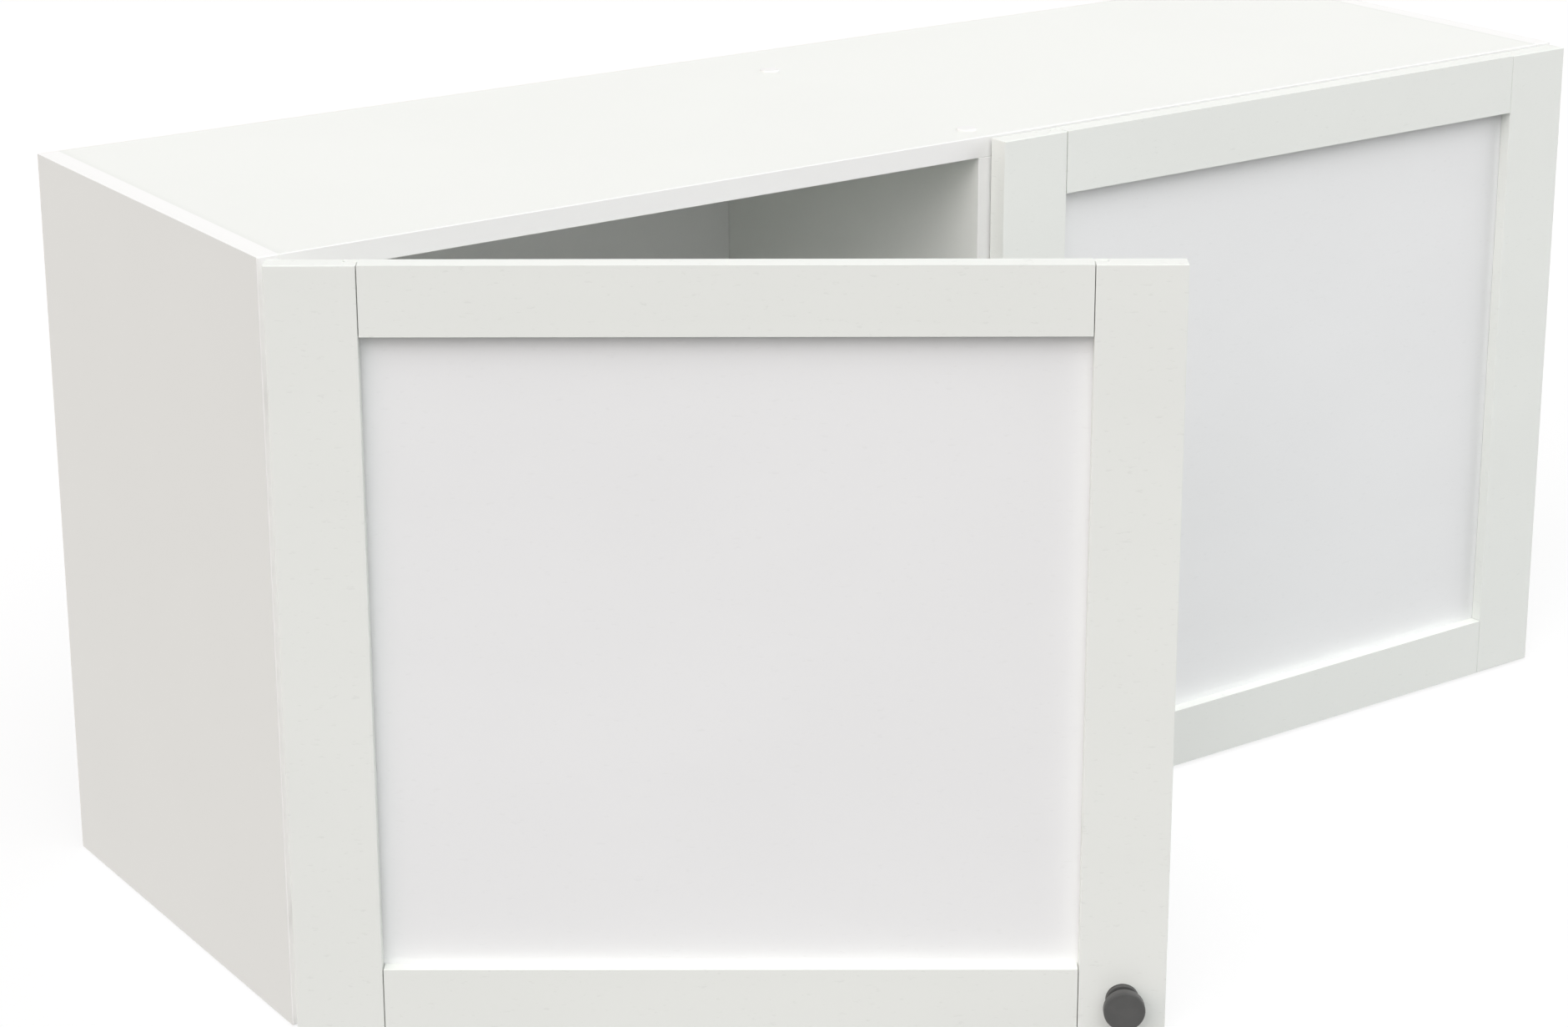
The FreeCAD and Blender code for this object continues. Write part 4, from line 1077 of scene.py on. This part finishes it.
@dataclass
class CarcassFittings:
    """The metal on the carcass that shows when a door is open, and the hanging brackets."""

    plate_setback: float = 37 * MM
    plate_screw_spacing: float = 32 * MM
    plate_wing: float = 2 * MM
    arm_screw_depths: Pair = (22 * MM, 52 * MM)
    arm_ridge: float = 15 * MM
    hanger_width: float = 16 * MM
    hanger_middle: float = -41 * MM
    hanger_front: float = -61 * MM
    hanger_screw_heights: Pair = (-11.5 * MM, 20.5 * MM)
    adjuster_heights: Pair = (6 * MM, 30 * MM)
    link_round: float = 0.4 * MM
    body: str = "carcass"

    def build(self, dresser: Dresser) -> None:
        """Model and dress the fittings.

        Args:
            dresser: Where the materials come from.
        """
        dresser.fit(self.plate_screws(), Slot.ZINC, self.body, "plate_screws")
        dresser.fit(self.arm_screws(), Slot.ZINC, self.body, "arm_screws")
        dresser.fit(self.hanger_screws(), Slot.ZINC, self.body, "hanger_screws")
        dresser.fit(self.adjusters(), Slot.ZINC, self.body)
        for node, width, slot in (
            ("hinge_arms", 0.5 * MM, Slot.NICKEL),
            ("hinge_plates", 0.5 * MM, Slot.NICKEL),
            ("left_hanger", 0.8 * MM, Slot.PLASTIC),
            ("right_hanger", 0.8 * MM, Slot.PLASTIC),
            ("left_wall_plate", 0.4 * MM, Slot.ZINC),
            ("right_wall_plate", 0.4 * MM, Slot.ZINC),
            ("hanger_hooks", 0.5 * MM, Slot.ZINC),
        ):
            dresser.fit(eased_twin(f"{node}_eased", node, width), slot, self.body, node)
        for side in Side:
            node = f"{side.word}_hinge_links"
            links = eased_twin(f"{node}_eased", node, self.link_round)
            dresser.fit(links, Slot.NICKEL, f"{side.word}_links", node)

    def on_sides(self, model: Item, name: str, place: Callable[[Side], list[Matrix]]) -> Item:
        """Copies of a model at the poses that a rule gives on both sides."""
        return Bench.repeat(model, name, [pose for side in Side for pose in place(side)])

    def inward(self, side: Side, rise: float, y: float, z: float) -> Matrix:
        """A pose on a side's inner face that points into the bay."""
        direction = "+x" if side is Side.LEFT else "-x"
        return towards((side.value * (INNER_SIDE - rise), y, z), direction)

    def plate_screws(self) -> Item:
        """The screws through the wings of the mounting plates."""
        half = self.plate_screw_spacing / 2
        levels = [z + step for z in HINGE_HEIGHTS for step in (-half, half)]
        y = CARCASS_FRONT + self.plate_setback
        return self.on_sides(
            PLATE_SCREW.build(), "plate_bolts",
            lambda side: [self.inward(side, self.plate_wing, y, z) for z in levels])

    def arm_screws(self) -> Item:
        """The screws that hold and adjust the hinge arms."""
        return self.on_sides(
            ARM_SCREW.build(), "arm_bolts",
            lambda side: [self.inward(side, self.arm_ridge, CARCASS_FRONT + depth, z)
                          for z in HINGE_HEIGHTS for depth in self.arm_screw_depths])

    def hanger_screws(self) -> Item:
        """The screws that hold the hanging brackets."""
        return self.on_sides(
            HANGER_SCREW.build(), "hanger_bolts",
            lambda side: [self.inward(side, self.hanger_width, self.hanger_middle, z)
                          for z in self.hanger_screw_heights])

    def adjusters(self) -> Item:
        """The two screws on each bracket's face that raise and tighten its hook."""
        x = INNER_SIDE - self.hanger_width / 2
        return self.on_sides(
            ADJUSTER.build(), "hanger_adjusters",
            lambda side: [towards((side.value * x, self.hanger_front, z), "-y")
                          for z in self.adjuster_heights])


@dataclass(frozen=True)
class Lobe:
    """A soft patch of sky: degrees from the front to the left, degrees up, and its strength."""

    turn: float
    rise: float
    power: float

    def direction(self) -> Triple:
        """Where the lobe's middle lies."""
        turn, rise = math.radians(self.turn), math.radians(self.rise)
        level = -math.cos(rise)
        return (level * math.sin(turn), level * math.cos(turn), math.sin(rise))


@dataclass
class Studio:
    """The floor, the soft light and the camera of the photograph."""

    floor_height: float = -491.3 * MM
    floor_size: float = 60.0
    floor_bounce: float = 0.06
    floor_fill: float = 0.21
    floor_shown: float = 0.20
    floor_glow: float = 0.80
    sky_front: Triple = (0.995, 0.998, 1.003)
    sky_left: Triple = (1.095, 0.935, 0.895)
    sky_warm: Pair = (0.62, 1.0)
    sky_lobes: tuple[Lobe, ...] = (
        Lobe(-70.0, 15.0, 3.5),
        Lobe(105.0, 15.0, 1.07),
        Lobe(35.0, 42.0, 2.22),
        Lobe(70.0, 42.0, 1.25),
        Lobe(35.0, 68.0, 0.8),
        Lobe(180.0, 0.0, 0.3),
    )
    lobe_rim: float = 42.0
    lobe_middle: float = 4.0
    fill_at: Triple = (1.5, -2.4, 3.4)
    fill_target: Triple = (0.3, -0.37, -0.3)
    fill_size: float = 2.4
    fill_power: float = 4.0
    camera_at: Triple = (-1.52651, -2.28179, 0.63078)
    camera_right: Triple = (0.82031, -0.571916, -0.002007)
    camera_forward: Triple = (0.548084, 0.78712, -0.282924)
    focal_pixels: float = 4057.3
    image: tuple[int, int] = (1880, 1231)
    axis_pixel: Pair = (940.0, 400.0)
    sensor: float = 36.0
    far: float = 200.0

    def build(self) -> None:
        """Set up the floor, light and camera."""
        self.floor()
        self.world()
        self.fill()
        self.camera()
        bpy.context.scene.view_settings.view_transform = "Standard"

    def seen(self, paint: Paint) -> Field:
        """One for rays that show the background: straight, mirrored or through glass."""
        straight, mirrored, through = (paint.node("ShaderNodeLightPath", output=f"Is {kind} Ray")
                                       for kind in ("Camera", "Glossy", "Transmission"))
        return straight.either(mirrored).either(through)

    def floor(self) -> None:
        """A plain pale floor that keeps a faint shadow."""
        Bench.clear()
        bpy.ops.mesh.primitive_plane_add(size=self.floor_size, location=(0.0, 0.0, self.floor_height))
        floor = Bench.named("floor")
        material = bpy.data.materials.new("pale_floor")
        material.use_nodes = True
        paint = Paint(material.node_tree)
        seen = self.seen(paint)
        bounce, shown = self.floor_bounce, self.floor_shown
        tone = paint.mix(seen, (bounce, bounce, bounce, 1.0), (shown, shown, shown, 1.0))
        diffuse = paint.node("ShaderNodeBsdfDiffuse", None, {"Color": tone})
        glowing = seen * self.floor_glow + (1.0 - seen) * self.floor_fill
        glow = paint.node("ShaderNodeEmission", None, {"Strength": glowing})
        both = paint.node("ShaderNodeAddShader", None, {0: diffuse, 1: glow})
        paint.node("ShaderNodeOutputMaterial", None, {"Surface": both})
        floor.data.materials.append(material)
        log.info("floor at %.4f", self.floor_height)

    def world(self) -> None:
        """A sky of soft lobes, warmer towards the left, that shows as white."""
        world = bpy.data.worlds.new("studio")
        world.use_nodes = True
        bpy.context.scene.world = world
        paint = Paint(world.node_tree)
        across, deep, height = (paint.along(axis, "Generated") for axis in "XYZ")
        warm = (0.0 - across).ramp(*self.sky_warm)
        spread = [math.cos(math.radians(angle)) for angle in (self.lobe_rim, self.lobe_middle)]
        strength = 0.0
        for lobe in self.sky_lobes:
            x, y, z = lobe.direction()
            strength = strength + lobe.power * (across * x + deep * y + height * z).ramp(*spread)
        tint = paint.mix(warm, (*self.sky_front, 1.0), (*self.sky_left, 1.0))
        lit = paint.node("ShaderNodeBackground", None, {"Color": tint, "Strength": strength})
        white = paint.node("ShaderNodeBackground", None, {"Color": WHITE, "Strength": 1.0})
        both = paint.node("ShaderNodeMixShader", None, {0: self.seen(paint), 1: lit, 2: white})
        paint.node("ShaderNodeOutputWorld", None, {"Surface": both})

    def fill(self) -> None:
        """A large soft lamp over the right door."""
        Bench.clear()
        bpy.ops.object.light_add(type="AREA", location=self.fill_at)
        lamp = bpy.context.active_object
        lamp.name = "fill"
        lamp.data.shape = "DISK"
        lamp.data.size = self.fill_size
        lamp.data.energy = self.fill_power
        aim = Vector(self.fill_target) - Vector(self.fill_at)
        lamp.rotation_euler = aim.to_track_quat("-Z", "Y").to_euler()

    def camera(self) -> None:
        """The photograph's camera."""
        Bench.clear()
        bpy.ops.object.camera_add(location=self.camera_at)
        item = bpy.context.active_object
        right = Vector(self.camera_right).normalized()
        ahead = Vector(self.camera_forward).normalized()
        up = right.cross(ahead).normalized()
        item.matrix_world = Matrix.Translation(self.camera_at) @ Matrix((
            (right.x, up.x, -ahead.x), (right.y, up.y, -ahead.y), (right.z, up.z, -ahead.z))).to_4x4()
        wide, high = self.image
        item.data.sensor_width = self.sensor
        item.data.lens = self.sensor * self.focal_pixels / wide
        item.data.shift_x = (wide / 2 - self.axis_pixel[0]) / wide
        item.data.shift_y = (self.axis_pixel[1] - high / 2) / wide
        item.data.clip_end = self.far
        bpy.context.scene.camera = item


def main() -> None:
    """Build the cabinet's looks in order."""
    logging.basicConfig(level=logging.INFO, format="%(message)s")
    dresser = Dresser(FINISHES)
    dresser.dress_nodes(frame["nodes"], frame["record"])
    CarcassFittings().build(dresser)
    pin_x, pin_y = HINGE_PIN
    Door(Side.LEFT, DoorPose((-pin_x, pin_y), LEFT_PIN_AT_REST, LEFT_OPENING)).build(dresser)
    Door(Side.RIGHT, DoorPose(HINGE_PIN, HINGE_PIN, 0.0)).build(dresser)
    Studio().build()


if __name__ == "__main__":
    main()
